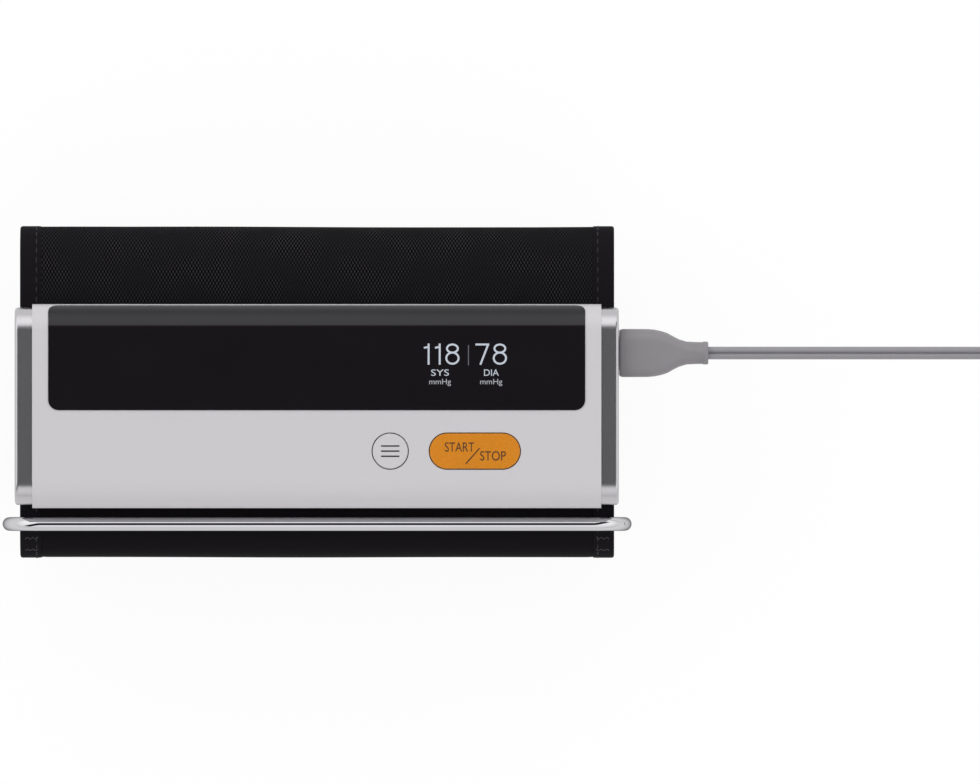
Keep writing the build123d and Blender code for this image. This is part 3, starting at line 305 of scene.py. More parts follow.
class Stuff(Enum):
    """Every finish on the monitor, its cuff and its lead."""

    # Satin ABS: pale warm grey, with a fine even mould grain. The rear cover is a darker, duller grey
    PANEL = Moulded("abs_panel_satin", "#CDCBCE", 0.42, ior=1.53, mottle=0.012)
    REAR = Moulded("abs_rear_satin", "#A7A6A9", 0.5, ior=1.53, mottle=0.02)
    # Die-cast zinc, satin nickel plated: grey mirror blurred by the blasting under the plate
    CAP = Moulded(
        "zinc_satin_nickel", "#BDBBBE", 0.255, grain_mm=0.2, relief_mm=0.0001, metallic=1.0, patchy=0.01
    )
    # Smoked acrylic, polished: near black with a clear reflection
    WINDOW = Moulded("acrylic_smoked", "#1A171B", 0.06, grain_mm=3.0, relief_mm=0.001, ior=1.4, mottle=0.1)
    # Glossy translucent ABS: deep orange with a wet highlight
    START = Moulded(
        "abs_orange_gloss", "#D6851A", 0.28, grain_mm=0.8, ior=1.53, mottle=0.1, subsurface=0.05
    )
    # Chrome on drawn steel wire: hard bright and dark reflections
    CHROME = Moulded(
        "steel_wire_chrome", "#CBCACD", 0.03, grain_mm=1.2, relief_mm=0.001, metallic=1.0,
        edge_colour="#8E8E90",
    )
    # Pad printing ink: thin and matt, dark brown on the orange and near black on the grey
    INK = Moulded("pad_print_ink", "#3E1E04", 0.6, grain_mm=0.1, mottle=0.1)
    MENU_INK = Moulded("pad_print_ink_grey", "#1C1A1D", 0.6, grain_mm=0.1, mottle=0.1)
    # White LED segments behind the window: a cold even glow, dimmer for the units and the rule
    DIGITS = Glow("display_segments_white", "#C3CBD6", 0.5)
    UNITS = Glow("display_segments_dim", "#B4B6BB", 0.5, strength=0.9)
    RULE = Glow("display_rule_dim", "#5B5D62", 0.5)
    # Knitted polyester spacer mesh: small holes in diagonal rows, under a dull black face. The holes are
    # painted near black: painted shade in them
    MESH = Woven(
        "polyester_spacer_mesh", "#3E3C40", 0.8, gap_shade_colour="#010101", across_mm=0.82, along_mm=1.44,
        relief_mm=0.12, sheen=0.01, wear_mm=9.0, least_contrast=0.2, crest=2.2,
    )
    # Woven nylon grosgrain ribbon: fine ribs across its width, with painted shade between the ribs
    RIBBON = Woven(
        "nylon_grosgrain_ribbon", "#1D1B1E", 0.7, gap_shade_colour="#19171A", across_mm=0.0, along_mm=0.55,
        relief_mm=0.03, sheen=0.02, least_contrast=0.7,
    )
    # Nylon cloth laminated to foam: tight flat weave, almost smooth, with faint painted shade in the gaps
    # of its weave
    STRAP = Woven(
        "nylon_laminated", "#1A181B", 0.62, gap_shade_colour="#151315", across_mm=0.5, along_mm=0.5,
        relief_mm=0.012, sheen=0.01, wear_mm=25.0,
    )
    # Brushed nylon tricot: soft, slightly greyer from its nap, with painted shade in the gaps of its knit
    LINING = Woven(
        "nylon_tricot_lining", "#29282B", 0.85, gap_shade_colour="#1B1A1C", across_mm=0.45, along_mm=0.7,
        relief_mm=0.03, sheen=0.3,
    )
    # Spun polyester sewing thread: pale enough to show on black at the bar tacks, else black
    TACK = Moulded("polyester_thread_tacks", "#312F33", 0.5, grain_mm=0.15, relief_mm=0.02)
    THREAD = Moulded("polyester_thread", "#19181A", 0.6, grain_mm=0.15, relief_mm=0.02)
    # Woven nylon hook tape: dull black with a coarse nap
    HOOK = Moulded("nylon_hook_tape", "#161517", 0.8, grain_mm=0.5, relief_mm=0.2)
    # Soft PVC, moulded over the plugs and extruded round the cable: mid grey satin
    GRIP = Moulded("pvc_overmould", "#888589", 0.455, relief_mm=0.006, ior=1.53)
    JACKET = Jacket("pvc_cable_jacket", "#918F94", 0.42)
    # Moulded silicone rubber: soft black without a clear reflection
    TIE = Moulded("silicone_tie", "#1F1F21", 0.5, grain_mm=0.4, relief_mm=0.01)
    # Nickel plate on drawn steel shells, and gold plate on contacts: smooth and bright
    PLATE = Moulded("steel_nickel_plate", "#C9C7C3", 0.22, relief_mm=0.002, metallic=1.0)
    GOLD = Moulded("contact_gold_plate", "#E2B867", 0.2, relief_mm=0.001, metallic=1.0)
    # Moulded nylon under the contacts: plain off-white
    TONGUE = Moulded("nylon_contact_block", "#E6E5E2", 0.5)
    # Moulded POM of the inner parts: near black, and slightly waxy
    INNER = Moulded("pom_inner_parts", "#2A2A2C", 0.45)
    # Extruded polypropylene sheet: milky grey
    SHEET = Moulded("polypropylene_sheet", "#8C8C8E", 0.5, grain_mm=0.6)
    # Solder resist on glass laminate: glossy green, clouded by the copper under it
    BOARD = Moulded("solder_resist_green", "#1F5A38", 0.35, grain_mm=0.5, relief_mm=0.01, mottle=0.12)
    # Turned or pressed steel, zinc plated: cool grey metal
    STEEL = Moulded("steel_zinc_plate", "#B9B9BC", 0.35, relief_mm=0.003, metallic=1.0)
    # Aluminium foil laminate round the cell: silvery and creased
    FOIL = Moulded("cell_foil_wrap", "#B6B7BA", 0.4, grain_mm=1.5, relief_mm=0.03, metallic=1.0)
    # Extruded silicone: milky, lets light in
    SILICONE = Moulded("silicone_hose", "#CFCEC9", 0.4, grain_mm=0.5, subsurface=0.2)
    # Welded TPU film: black with a low gloss
    BLADDER = Moulded("tpu_bladder", "#232325", 0.5, grain_mm=0.5, relief_mm=0.02)


MATERIALS: dict[Stuff, bpy.types.Material] = {}


def dress(piece: Piece, stuff: Stuff) -> None:
    """Gives a piece its finish in place of any it had. Each finish is made once.

    Args:
        piece: Mesh object, new or from the frame.
        stuff: The finish it gets.
    """
    if stuff not in MATERIALS:
        MATERIALS[stuff] = stuff.value.material()
    slots = piece.material_slots
    if not slots:
        piece.data.materials.append(MATERIALS[stuff])
    for slot in slots:
        slot.material = MATERIALS[stuff]


# ---- Modelling by operators ----
def start_clean() -> None:
    """Leaves nothing selected, so that an operator acts on the next piece alone."""
    if bpy.context.object and bpy.context.object.mode != "OBJECT":
        bpy.ops.object.mode_set(mode="OBJECT")
    bpy.ops.object.select_all(action="DESELECT")


@contextmanager
def editing(everything: bool = True) -> Iterator[None]:
    """Edit mode for the operators under it.

    Args:
        everything: Whether the whole piece is selected first.

    Yields:
        Nothing.
    """
    bpy.ops.object.mode_set(mode="EDIT")
    if everything:
        bpy.ops.mesh.select_all(action="SELECT")
    yield
    bpy.ops.object.mode_set(mode="OBJECT")


def settle(
    piece: Piece, name: str, stuff: Stuff, body: str, stands_for: Sequence[str] = ()
) -> Piece:
    """Names, smooths and dresses a finished piece, and joins it to its body.

    Args:
        piece: The finished mesh object.
        name: Its name.
        stuff: Its finish.
        body: Body that it rides on.
        stands_for: CAD nodes that it replaces.

    Returns:
        The piece.
    """
    start_clean()
    piece.name = name
    piece.data.name = name
    piece.select_set(True)
    bpy.context.view_layer.objects.active = piece
    bpy.ops.object.transform_apply()
    bpy.ops.object.shade_smooth_by_angle(angle=math.radians(SHARP_DEG))
    dress(piece, stuff)
    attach(piece, body)
    if stands_for:
        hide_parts(*stands_for)
    LOG.info("%s: %d faces on %s", name, len(piece.data.polygons), body)
    return piece


def join(pieces: Sequence[Piece]) -> Piece:
    """Joins copies of a repeated shape into one object.

    Args:
        pieces: Objects to join.

    Returns:
        The joined object.
    """
    start_clean()
    for piece in pieces:
        piece.select_set(True)
    bpy.context.view_layer.objects.active = pieces[0]
    bpy.ops.object.join()
    return pieces[0]


def lay_grid(columns: int, rows: int, spot: Callable[[int, int], Spot]) -> Piece:
    """Lays a flat grid out in space and gives it a map in metres.

    Args:
        columns: Cells across.
        rows: Cells along.
        spot: Gives the places of the corner at a column and a row.

    Returns:
        The new object.
    """
    start_clean()
    bpy.ops.mesh.primitive_grid_add(x_subdivisions=columns, y_subdivisions=rows, size=1)
    sheet = bpy.context.object
    mapped = []
    for vertex in sheet.data.vertices:
        column, row = round((vertex.co.x + 0.5) * columns), round((vertex.co.y + 0.5) * rows)
        vertex.co, on_map = spot(column, row)
        mapped.append(on_map)
    chart = sheet.data.uv_layers.active.data
    for loop in sheet.data.loops:
        chart[loop.index].uv = mapped[loop.vertex_index]
    return sheet


def middle_of(node: str) -> list[float]:
    """Middle of a CAD node's box."""
    return [(low + high) / 2 for low, high in zip(*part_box(node))]


def evenly(start: float, end: float, step: float) -> list[float]:
    """Values from start to end, about a step apart."""
    count = max(1, round(abs(end - start) / step))
    return [start + (end - start) * index / count for index in range(count + 1)]


def flat_section(half: float, step: float) -> list[Point]:
    """Section of a flat cut that reaches half to both sides, with a point about every step."""
    return [(x, 0.0) for x in evenly(-half, half, step)]


# ---- Cloth and stitches on a route ----
@dataclass
class Station:
    """A point along a route: how far along it is, where, and which way is inwards."""

    along: float
    point: Vector
    inward: Vector

    def place(self, depth: float) -> Point:
        """Point below the route by depth, as Y and Z."""
        moved = self.point + self.inward * depth
        return moved.x, moved.y


class Route:
    """A line in the YZ plane, of straight runs joined by tangent arcs, followed clockwise."""

    def __init__(
        self,
        corners: Sequence[Point],
        radii: Sequence[float] = (),
        step: float = 3 * MM,
        marks: Sequence[float] = (),
    ) -> None:
        """Lays out the stations of a route.

        Args:
            corners: Its end points and corners, as Y and Z.
            radii: Radius of the arc at each corner but the ends.
            step: Distance between stations on a straight run.
            marks: Distances along the route that get stations close together, as at a seam.
        """
        self.stations: list[Station] = []
        points = [Vector(corner) for corner in corners]
        ways = [(end - start).normalized() for start, end in zip(points, points[1:])]
        turns = zip(ways, ways[1:], radii)
        trims = [0.0, *(radius * math.tan(before.angle(after) / 2) for before, after, radius in turns), 0.0]
        close = [mark + near * MM for mark in marks for near in (-0.6, -0.25, 0.0, 0.25, 0.6)]
        along, slack = 0.0, 1e-7
        for index, way in enumerate(ways):
            side = Vector((way.y, -way.x))
            start = points[index] + way * trims[index]
            length = (points[index + 1] - points[index]).length - trims[index] - trims[index + 1]
            spots = {*evenly(0.0, length, step), *(spot - along for spot in close)}
            for spot in sorted(spot for spot in spots if -slack <= spot <= length + slack):
                if not self.stations or along + spot - self.stations[-1].along > slack:
                    self.stations.append(Station(along + spot, start + way * spot, side))
            along += length
            if index < len(radii):
                end = Station(along, start + way * length, side)
                along = self._add_arc(end, ways[index + 1], radii[index])
        self.length = along

    def _add_arc(self, start: Station, after: Vector, radius: float) -> float:
        """Adds the stations of one arc.

        Args:
            start: End of the run before it.
            after: Direction of the run after it.
            radius: The arc's radius.

        Returns:
            Distance at the arc's end.
        """
        sign = 1 if start.inward.dot(after) > 0 else -1  # 1 where the inward side is inside the turn
        turn = Vector((-start.inward.y, start.inward.x)).angle(after)
        centre = start.point + start.inward * (sign * radius)
        steps = max(3, math.ceil(math.degrees(turn) / 9))
        for step in range(1, steps + 1):
            spoke = start.point - centre
            spoke.rotate(Matrix.Rotation(-sign * turn * step / steps, 2))
            along = start.along + radius * turn * step / steps
            self.stations.append(Station(along, centre + spoke, spoke.normalized() * -sign))
        return start.along + radius * turn

    def at(self, along: float) -> Station:
        """Finds a station, between two laid out ones where it has to be.

        Args:
            along: Its distance along the route.

        Returns:
            The station.
        """
        last = len(self.stations) - 1
        place = next((index for index, s in enumerate(self.stations) if s.along >= along), last)
        before, after = self.stations[max(0, place - 1)], self.stations[place]
        gap = after.along - before.along
        share = (along - before.along) / gap if gap > 0 else 0.0
        inward = before.inward.lerp(after.inward, share).normalized()
        return Station(along, before.point.lerp(after.point, share), inward)


def ripple(size: float, across: float, along: float) -> float:
    """Slow uneven waves of a cloth that is held taut.

    Args:
        size: Height of the waves.
        across: X of a spot.
        along: Its distance along the route.

    Returns:
        Depth of the waves at the spot.
    """
    return size * (
        0.5 * math.sin(across / (23 * MM) + 1.3 * math.sin(along / (31 * MM)))
        + 0.3 * math.sin(along / (9 * MM) + across / (41 * MM))
        + 0.2 * math.sin(across / (11 * MM) - along / (17 * MM) + 0.7)
    )


@dataclass
class Cloth:
    """A cut of cloth that is laid along a route and given its thickness."""

    route: Route
    section: list[Point]  # X and depth below the route, from edge to edge of the cut
    thickness: float
    relief: Callable[[float, float], float] = partial(ripple, 0.0)
    closed: bool = False

    def __post_init__(self) -> None:
        """Measures how far each point of the section is from the first edge."""
        self.across = [0.0]
        for (x0, depth0), (x1, depth1) in zip(self.section, self.section[1:]):
            self.across.append(self.across[-1] + math.hypot(x1 - x0, depth1 - depth0))

    def spot(self, column: int, row: int) -> Spot:
        """Finds a spot of the cloth.

        Args:
            column: Which point of the section it is on.
            row: Which station of the route it is at.

        Returns:
            Its places in space and on the map.
        """
        x, depth = self.section[column]
        station = self.route.stations[row]
        y, z = station.place(depth + self.relief(x, station.along))
        return (x, y, z), (self.across[column], station.along)

    def lay(self) -> Piece:
        """Lays a flat grid along the route and thickens it inwards.

        Returns:
            The new object.
        """
        cloth = lay_grid(len(self.section) - 1, len(self.route.stations) - 1, self.spot)
        if self.closed:
            with editing():
                bpy.ops.mesh.remove_doubles(threshold=MERGE)
        wall = cloth.modifiers.new("wall", "SOLIDIFY")
        wall.thickness, wall.offset = self.thickness, -1.0
        bpy.context.view_layer.objects.active = cloth
        bpy.ops.object.modifier_apply(modifier=wall.name)
        return cloth

    def flat(self) -> Point:
        """Width and length of the cut before it was laid."""
        return self.across[-1], self.route.length


@dataclass
class Stitching:
    """A row of lockstitches on a route."""

    route: Route
    length: float = 1.7 * MM
    width: float = 0.32 * MM
    pitch: float = 2.4 * MM
    flatness: float = 0.8

    def between(self, start: Point, end: Point, depth: float) -> list[Piece]:
        """Sews from one spot to another.

        Args:
            start: First spot, as X and distance along the route.
            end: Last spot.
            depth: Depth of the thread's middle below the route.

        Returns:
            The stitches, one object each.
        """
        start_clean()
        bpy.ops.mesh.primitive_uv_sphere_add(segments=8, ring_count=6, radius=0.5)
        pattern = bpy.context.object
        (x0, along0), (x1, along1) = start, end
        count = max(1, int(math.hypot(x1 - x0, along1 - along0) / self.pitch))
        row = []
        for index in range(count):
            share = (index + 0.5) / count
            station = self.route.at(along0 + (along1 - along0) * share)
            inward = Vector((0, *station.inward))
            forward = Vector((0, -station.inward.y, station.inward.x))
            way = (Vector((x1 - x0, 0, 0)) + forward * (along1 - along0)).normalized()
            turn = Matrix((way, way.cross(inward), inward)).transposed().to_4x4()
            size = Matrix.Diagonal((self.length, self.width, self.width * self.flatness, 1.0))
            place = Matrix.Translation((x0 + (x1 - x0) * share, *station.place(depth)))
            stitch = bpy.data.objects.new("stitch", pattern.data.copy())
            bpy.context.collection.objects.link(stitch)
            stitch.data.transform(place @ turn @ size)
            row.append(stitch)
        bpy.data.objects.remove(pattern)
        return row


# ---- The cuff and its strap ----
@dataclass
class Cuff:
    """Cuff loop: outer mesh, lining, closing strap and the ribbons along their edges."""

    bottom_radius: float = 17 * MM
    top_radius: float = 8 * MM
    shoulder_z: float = 40 * MM
    shoulder_fall: float = 8 * MM
    shoulder_radius: float = 10 * MM
    end_z: float = 36 * MM
    strap_end_z: float = 29 * MM
    strap_turn_radius: float = 8.3 * MM
    strap_thickness: float = 2.6 * MM
    strap_wall: float = 2.1 * MM
    strap_depth: float = 0.12 * MM
    strap_waves: float = 0.12 * MM
    strap_dip: float = 0.3 * MM  # under its ribbons
    mesh_wall: float = 1.15 * MM
    mesh_depth: float = 0.2 * MM
    mesh_waves: float = 0.16 * MM
    lining_wall: float = 0.7 * MM
    lining_depth: float = 3.45 * MM
    lining_lift: float = 0.1 * MM  # of its waves away from the arm
    lining_waves: float = 0.3 * MM
    layers: float = 4.35 * MM
    raw_edge: float = 0.5 * MM  # of the cloths inside the ribbons' outer faces
    ribbon: float = 0.35 * MM
    ribbon_width: float = 5.1 * MM
    ribbon_bend: float = 0.6 * MM
    ribbon_waves: float = 0.05 * MM
    facing_inset: float = 0.4 * MM  # from the ribbons' outer faces
    seam_y: float = -21 * MM
    seam_depth: float = 0.22 * MM
    seam_half: float = 0.5 * MM  # half the groove's width
    seam_past_roll: float = 1.1 * MM
    tack_places: Point = (-35.9 * MM, -39.0 * MM)
    tack_step: float = 0.65 * MM
    tack_sway: float = 0.35 * MM
    tack_inset: float = 1.2 * MM
    play: float = 0.05 * MM  # between cloths that lie on each other

    def __post_init__(self) -> None:
        """Lays out the two routes from the strap's box."""
        self.flats: dict[str, Point] = {}
        high_x, self.half_depth, self.top_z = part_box("closing_strap")[1]
        self.edge_x = high_x + self.ribbon + self.play
        gap = self.strap_thickness + self.play
        wall_y = self.half_depth - gap
        corner = self.bottom_radius - gap
        self.seam_along = self.half_depth - self.top_radius - self.seam_y + self.seam_past_roll
        far, top = self.half_depth, self.top_z
        corners = [(self.seam_y, top), (far, top), (far, self.shoulder_z)]
        corners += [(wall_y, self.shoulder_z - self.shoulder_fall), (wall_y, gap)]
        corners += [(-wall_y, gap), (-wall_y, self.end_z)]
        radii = [self.top_radius, self.shoulder_radius, self.shoulder_radius, corner, corner]
        self.cuff_route = Route(corners, radii, marks=(self.seam_along,))
        corners = [(far, self.strap_end_z), (far, 0.0), (-far, 0.0), (-far, top)]
        corners.append((self.seam_y - self.play, top))
        radii = [self.bottom_radius, self.bottom_radius, self.strap_turn_radius]
        self.strap_route = Route(corners, radii)

    def mesh_relief(self, across: float, along: float) -> float:
        """Waves of the outer mesh, and the groove of its seam where it rolls over the far edge."""
        groove = self.seam_depth * max(0.0, 1 - abs(along - self.seam_along) / self.seam_half)
        return ripple(self.mesh_waves, across, along) + self.mesh_depth + groove

    def lining_relief(self, across: float, along: float) -> float:
        """Waves of the lining, which die out towards the bound edges."""
        fade = max(0.0, 1 - abs(across / (self.edge_x - self.raw_edge)) ** 6)
        return self.lining_depth + (ripple(self.lining_waves, across, along) - self.lining_lift) * fade

    def strap_relief(self, across: float, along: float) -> float:
        """Waves of the strap, and its dip under the ribbons at both edges."""
        under = (abs(across) - self.edge_x + self.ribbon_width) / (self.ribbon_width - self.raw_edge)
        dip = self.strap_dip * min(1.0, 3 * max(0.0, under))
        return self.strap_depth + ripple(self.strap_waves, across, along) + dip

    def cloths(self) -> None:
        """Spacer mesh outside, lining against the arm, and laminated closing strap."""
        cuff, strap = self.cuff_route, self.strap_route
        for name, stuff, slot, node, route, wall, step, relief in (
            ("spacer_mesh", Stuff.MESH, "spacer_mesh", "cuff_outer_fabric",
             cuff, self.mesh_wall, 2.5 * MM, self.mesh_relief),
            ("lining", Stuff.LINING, "lining_cloth", "cuff_lining",
             cuff, self.lining_wall, 2.5 * MM, self.lining_relief),
            ("strap", Stuff.STRAP, "strap_cloth", "closing_strap",
             strap, self.strap_wall, 2.0 * MM, self.strap_relief),
        ):
            cloth = Cloth(route, flat_section(self.edge_x - self.raw_edge, step), wall, relief)
            settle(cloth.lay(), name, stuff, "monitor", [node])
            self.flats[name] = cloth.flat()

    def binding_section(self, thickness: float) -> list[Point]:
        """Section of a ribbon folded over the right edge.

        Args:
            thickness: Of what it binds.

        Returns:
            X and depth of its points, from its outer to its inner end.
        """
        edge, width, bend = self.edge_x, self.ribbon_width, self.ribbon_bend
        outer = [(edge - width, 0.06 * MM), (edge - width + 0.3 * MM, 0.0)]
        outer += [(x, 0.0) for x in evenly(edge - 0.6 * width, edge - bend, 1.0 * MM)]
        for step in range(1, 5):
            angle = math.radians(90 * step / 4)
            outer.append((edge - bend + bend * math.sin(angle), bend - bend * math.cos(angle)))
        return outer + [(x, thickness - depth) for x, depth in reversed(outer)]

    def bindings(self) -> None:
        """Ribbons along the edges of the cuff and of the strap, each with its row of stitches."""
        inset, end, sunk = 1.1 * MM, 1.5 * MM, 0.02 * MM
        for route, thickness, name, node in (
            (self.cuff_route, self.layers, "cuff", "edge_binding"),
            (self.strap_route, self.strap_thickness, "strap", "strap_binding"),
        ):
            section = self.binding_section(thickness)
            for side, word in ((1, "right"), (-1, "left")):
                cut = [(side * x, depth) for x, depth in section][::side]
                ribbon = Cloth(route, cut, self.ribbon, partial(ripple, self.ribbon_waves)).lay()
                replaced = [f"{node}_{word}"]
                settle(ribbon, f"{name}_ribbon_{word}", Stuff.RIBBON, "monitor", replaced)
                x = side * (self.edge_x - self.ribbon_width + inset)
                row = []
                for depth in (sunk, thickness - sunk):
                    row += Stitching(route).between((x, end), (x, route.length - end), depth)
                settle(join(row), f"{name}_stitches_{word}", Stuff.THREAD, "monitor")

    def bar_tacks(self) -> None:
        """Zigzag tacks that hold the strap's ribbons where it rolls over the near edge."""
        roll_z = self.top_z - self.strap_turn_radius
        sewing = Stitching(self.strap_route, length=1.0 * MM, width=0.26 * MM, pitch=0.75 * MM)
        zigzags = []
        for place in self.tack_places:
            rolls = (s for s in self.strap_route.stations if s.point.y > roll_z and s.point.x > place)
            roll = next(rolls).along
            for side in (1, -1):
                for step in range(5):
                    x = side * (self.edge_x - self.tack_inset - self.tack_step * step)
                    sway = self.tack_sway * (1 if step % 2 else -1)
                    end = (x - side * self.tack_step, roll - sway)
                    zigzags += sewing.between((x, roll + sway), end, -0.03 * MM)
        settle(join(zigzags), "bar_tacks", Stuff.TACK, "monitor")

    def facings(self) -> None:
        """Ribbon over the raw end of the layers, at both ends of the cuff."""
        section = flat_section(self.edge_x - self.facing_inset, 5 * MM)
        wall_y = self.cuff_route.stations[-1].point.x
        start_y, end_z = self.seam_y + 0.3 * MM, self.end_z + 0.04 * MM  # just clear of the strap
        near = 0.1 * MM  # of the outermost layer, as of the innermost
        far = self.layers - near
        for word, corners in (
            ("top", [(start_y, self.top_z - near), (start_y, self.top_z - far)]),
            ("wall", [(wall_y + near, end_z), (wall_y + far, end_z)]),
        ):
            facing = Cloth(Route(corners), section, self.ribbon - 0.01 * MM).lay()
            settle(facing, f"cuff_facing_{word}", Stuff.RIBBON, "monitor")

    def build(self) -> None:
        """Builds every piece of the cuff."""
        self.cloths()
        self.bindings()
        self.bar_tacks()
        self.facings()


# ---- Ring and its sleeve ----
@dataclass
class Ring:
    """Endless ring of round wire: two straight rods joined by half-round ends."""

    wire: float = 3.4 * MM
    end_radius: float = 7.0 * MM
    cut_inset: float = 0.4 * MM  # of the rods' outermost cuts from their ends

    def build(self) -> None:
        """Stretches a torus into the ring and cuts its rods so that their shading stays straight."""
        middle = middle_of("d_ring")
        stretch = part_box("d_ring")[1][0] - middle[0] - self.end_radius - self.wire / 2
        start_clean()
        sizes = {"major_radius": self.end_radius, "minor_radius": self.wire / 2}
        place = {"location": middle, "rotation": (math.pi / 2, 0, 0)}
        bpy.ops.mesh.primitive_torus_add(major_segments=66, minor_segments=28, **sizes, **place)
        ring = bpy.context.object
        bpy.ops.object.transform_apply()
        vertices = ring.data.vertices
        for side in (1, -1):
            for vertex in vertices:
                vertex.select = (vertex.co.x - middle[0]) * side > 0
            for part in (*ring.data.edges, *ring.data.polygons):
                part.select = all(vertices[index].select for index in part.vertices)
            with editing(everything=False):
                bpy.ops.transform.translate(value=(side * stretch, 0, 0))
        end = stretch - self.cut_inset
        for x in (-end, -stretch / 2, 0.0, stretch / 2, end):
            with editing():
                bpy.ops.mesh.bisect(plane_co=(x, 0, 0), plane_no=(1, 0, 0))
        settle(ring, "ring_wire", Stuff.CHROME, "ring", ["d_ring"])


@dataclass
class RingSleeve:
    """Webbing folded round the ring's rear rod and sewn to the cuff's near wall."""

    axis_y: float = -32.2 * MM
    axis_z: float = 41.7 * MM
    bore: float = 1.78 * MM
    thickness: float = 1.05 * MM
    waist: float = 1.5 * MM  # of the fold's sides below the rod's axis
    foot_in: Point = (0.9 * MM, 1.6 * MM)  # how far the near and the far foot lie towards the wall
    side_radius: float = 4 * MM
    seam_z: float = 1.2 * MM

    def build(self) -> None:
        """Lays the webbing up one side, over the rod and down the other."""
        low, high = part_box("ring_sleeve")
        outer = self.bore + self.thickness
        near_y, far_y = self.axis_y - outer, self.axis_y + outer
        waist_z, top_z = self.axis_z - self.waist, self.axis_z + outer
        far_foot = middle_of("ring_sleeve")[1] + self.foot_in[1]
        corners = [(near_y + self.foot_in[0], low[2]), (near_y, waist_z), (near_y, top_z)]
        corners += [(far_y, top_z), (far_y, waist_z), (far_foot, low[2])]
        bend = outer - 0.01 * MM
        route = Route(corners, [self.side_radius, bend, bend, self.side_radius], step=1.5 * MM)
        half = high[0]
        cloth = Cloth(route, flat_section(half, 2.5 * MM), self.thickness, partial(ripple, 0.04 * MM))
        webbing = cloth.lay()
        settle(webbing, "ring_webbing", Stuff.RIBBON, "monitor", ["ring_sleeve"])
        end = half - 2 * MM
        row = Stitching(route).between((-end, self.seam_z), (end, self.seam_z), 0.0)
        seam = settle(join(row), "ring_webbing_stitches", Stuff.THREAD, "monitor")


# ---- Lettering on the window and the buttons ----
@dataclass
class Face:
    """A level face that carries marks, whose places are in millimetres from its origin."""

    x: float
    y: float
    z: float
    lift: float = 0.02 * MM  # how far a mark stands out
    sunk: float = 0.01 * MM  # how far it reaches into the face

    @classmethod
    def on(cls, node: str) -> "Face":
        """Top of a CAD node, with its origin at the middle."""
        x, y, _ = middle_of(node)
        return cls(x, y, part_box(node)[1][2])

    def write(self, text: str, *box: float) -> Piece:
        """Writes a word or a sign.

        Args:
            text: What it says.
            box: Its left, right, lower and upper edge.

        Returns:
            The new mesh object.
        """
        left, right, low, high = box
        start_clean()
        bpy.ops.object.text_add()
        label = bpy.context.object
        label.data.body = text
        label.data.extrude = 0.5
        label.data.resolution_u = 6
        bpy.ops.object.convert(target="MESH")
        vertices = bpy.context.object.data.vertices
        ends = [(min(v.co[axis] for v in vertices), max(v.co[axis] for v in vertices)) for axis in range(3)]
        for vertex in vertices:
            x, y, z = ((value - start) / (end - start) for value, (start, end) in zip(vertex.co, ends))
            vertex.co = (
                self.x + (left + (right - left) * x) * MM,
                self.y + (low + (high - low) * y) * MM,
                self.z - self.sunk + (self.lift + self.sunk) * z,
            )
        return bpy.context.object

    def bar(self, start: Point, end: Point, width: float) -> Piece:
        """Draws a line with rounded edges.

        Args:
            start: X and Y of one end.
            end: X and Y of the other end.
            width: Width of the line.

        Returns:
            The new mesh object.
        """
        run, rise = end[0] - start[0], end[1] - start[1]
        middle = (
            self.x + (start[0] + run / 2) * MM,
            self.y + (start[1] + rise / 2) * MM,
            self.z + (self.lift - self.sunk) / 2,
        )
        start_clean()
        bpy.ops.mesh.primitive_cube_add(size=1, location=middle, rotation=(0, 0, math.atan2(rise, run)))
        line = bpy.context.object
        line.scale = (math.hypot(run, rise) * MM, width * MM, self.lift + self.sunk)
        bpy.ops.object.transform_apply()
        with editing():
            bpy.ops.mesh.bevel(offset=self.lift * 0.3, segments=2, affect="EDGES")
        return line

    def hoop(self, stroke: float, *box: float) -> Piece:
        """Draws an oval ring.

        Args:
            stroke: Width of its line.
            box: Its left, right, lower and upper edge.

        Returns:
            The new mesh object.
        """
        left, right, low, high = box
        middle = (self.x + (left + right) / 2 * MM, self.y + (low + high) / 2 * MM, self.z - self.sunk)
        start_clean()
        bpy.ops.mesh.primitive_circle_add(vertices=40, radius=0.5, fill_type="NGON", location=middle)
        ring = bpy.context.object
        ring.scale = ((right - left) * MM, (high - low) * MM, 1.0)
        bpy.ops.object.transform_apply()
        out = (0, 0, self.lift + self.sunk)
        with editing():
            bpy.ops.mesh.inset(thickness=stroke * MM)
            bpy.ops.mesh.delete(type="FACE")
            bpy.ops.mesh.select_all(action="SELECT")
            bpy.ops.mesh.extrude_region_move(TRANSFORM_OT_translate={"value": out})
            bpy.ops.mesh.select_all(action="SELECT")
            bpy.ops.mesh.normals_make_consistent()
        return ring


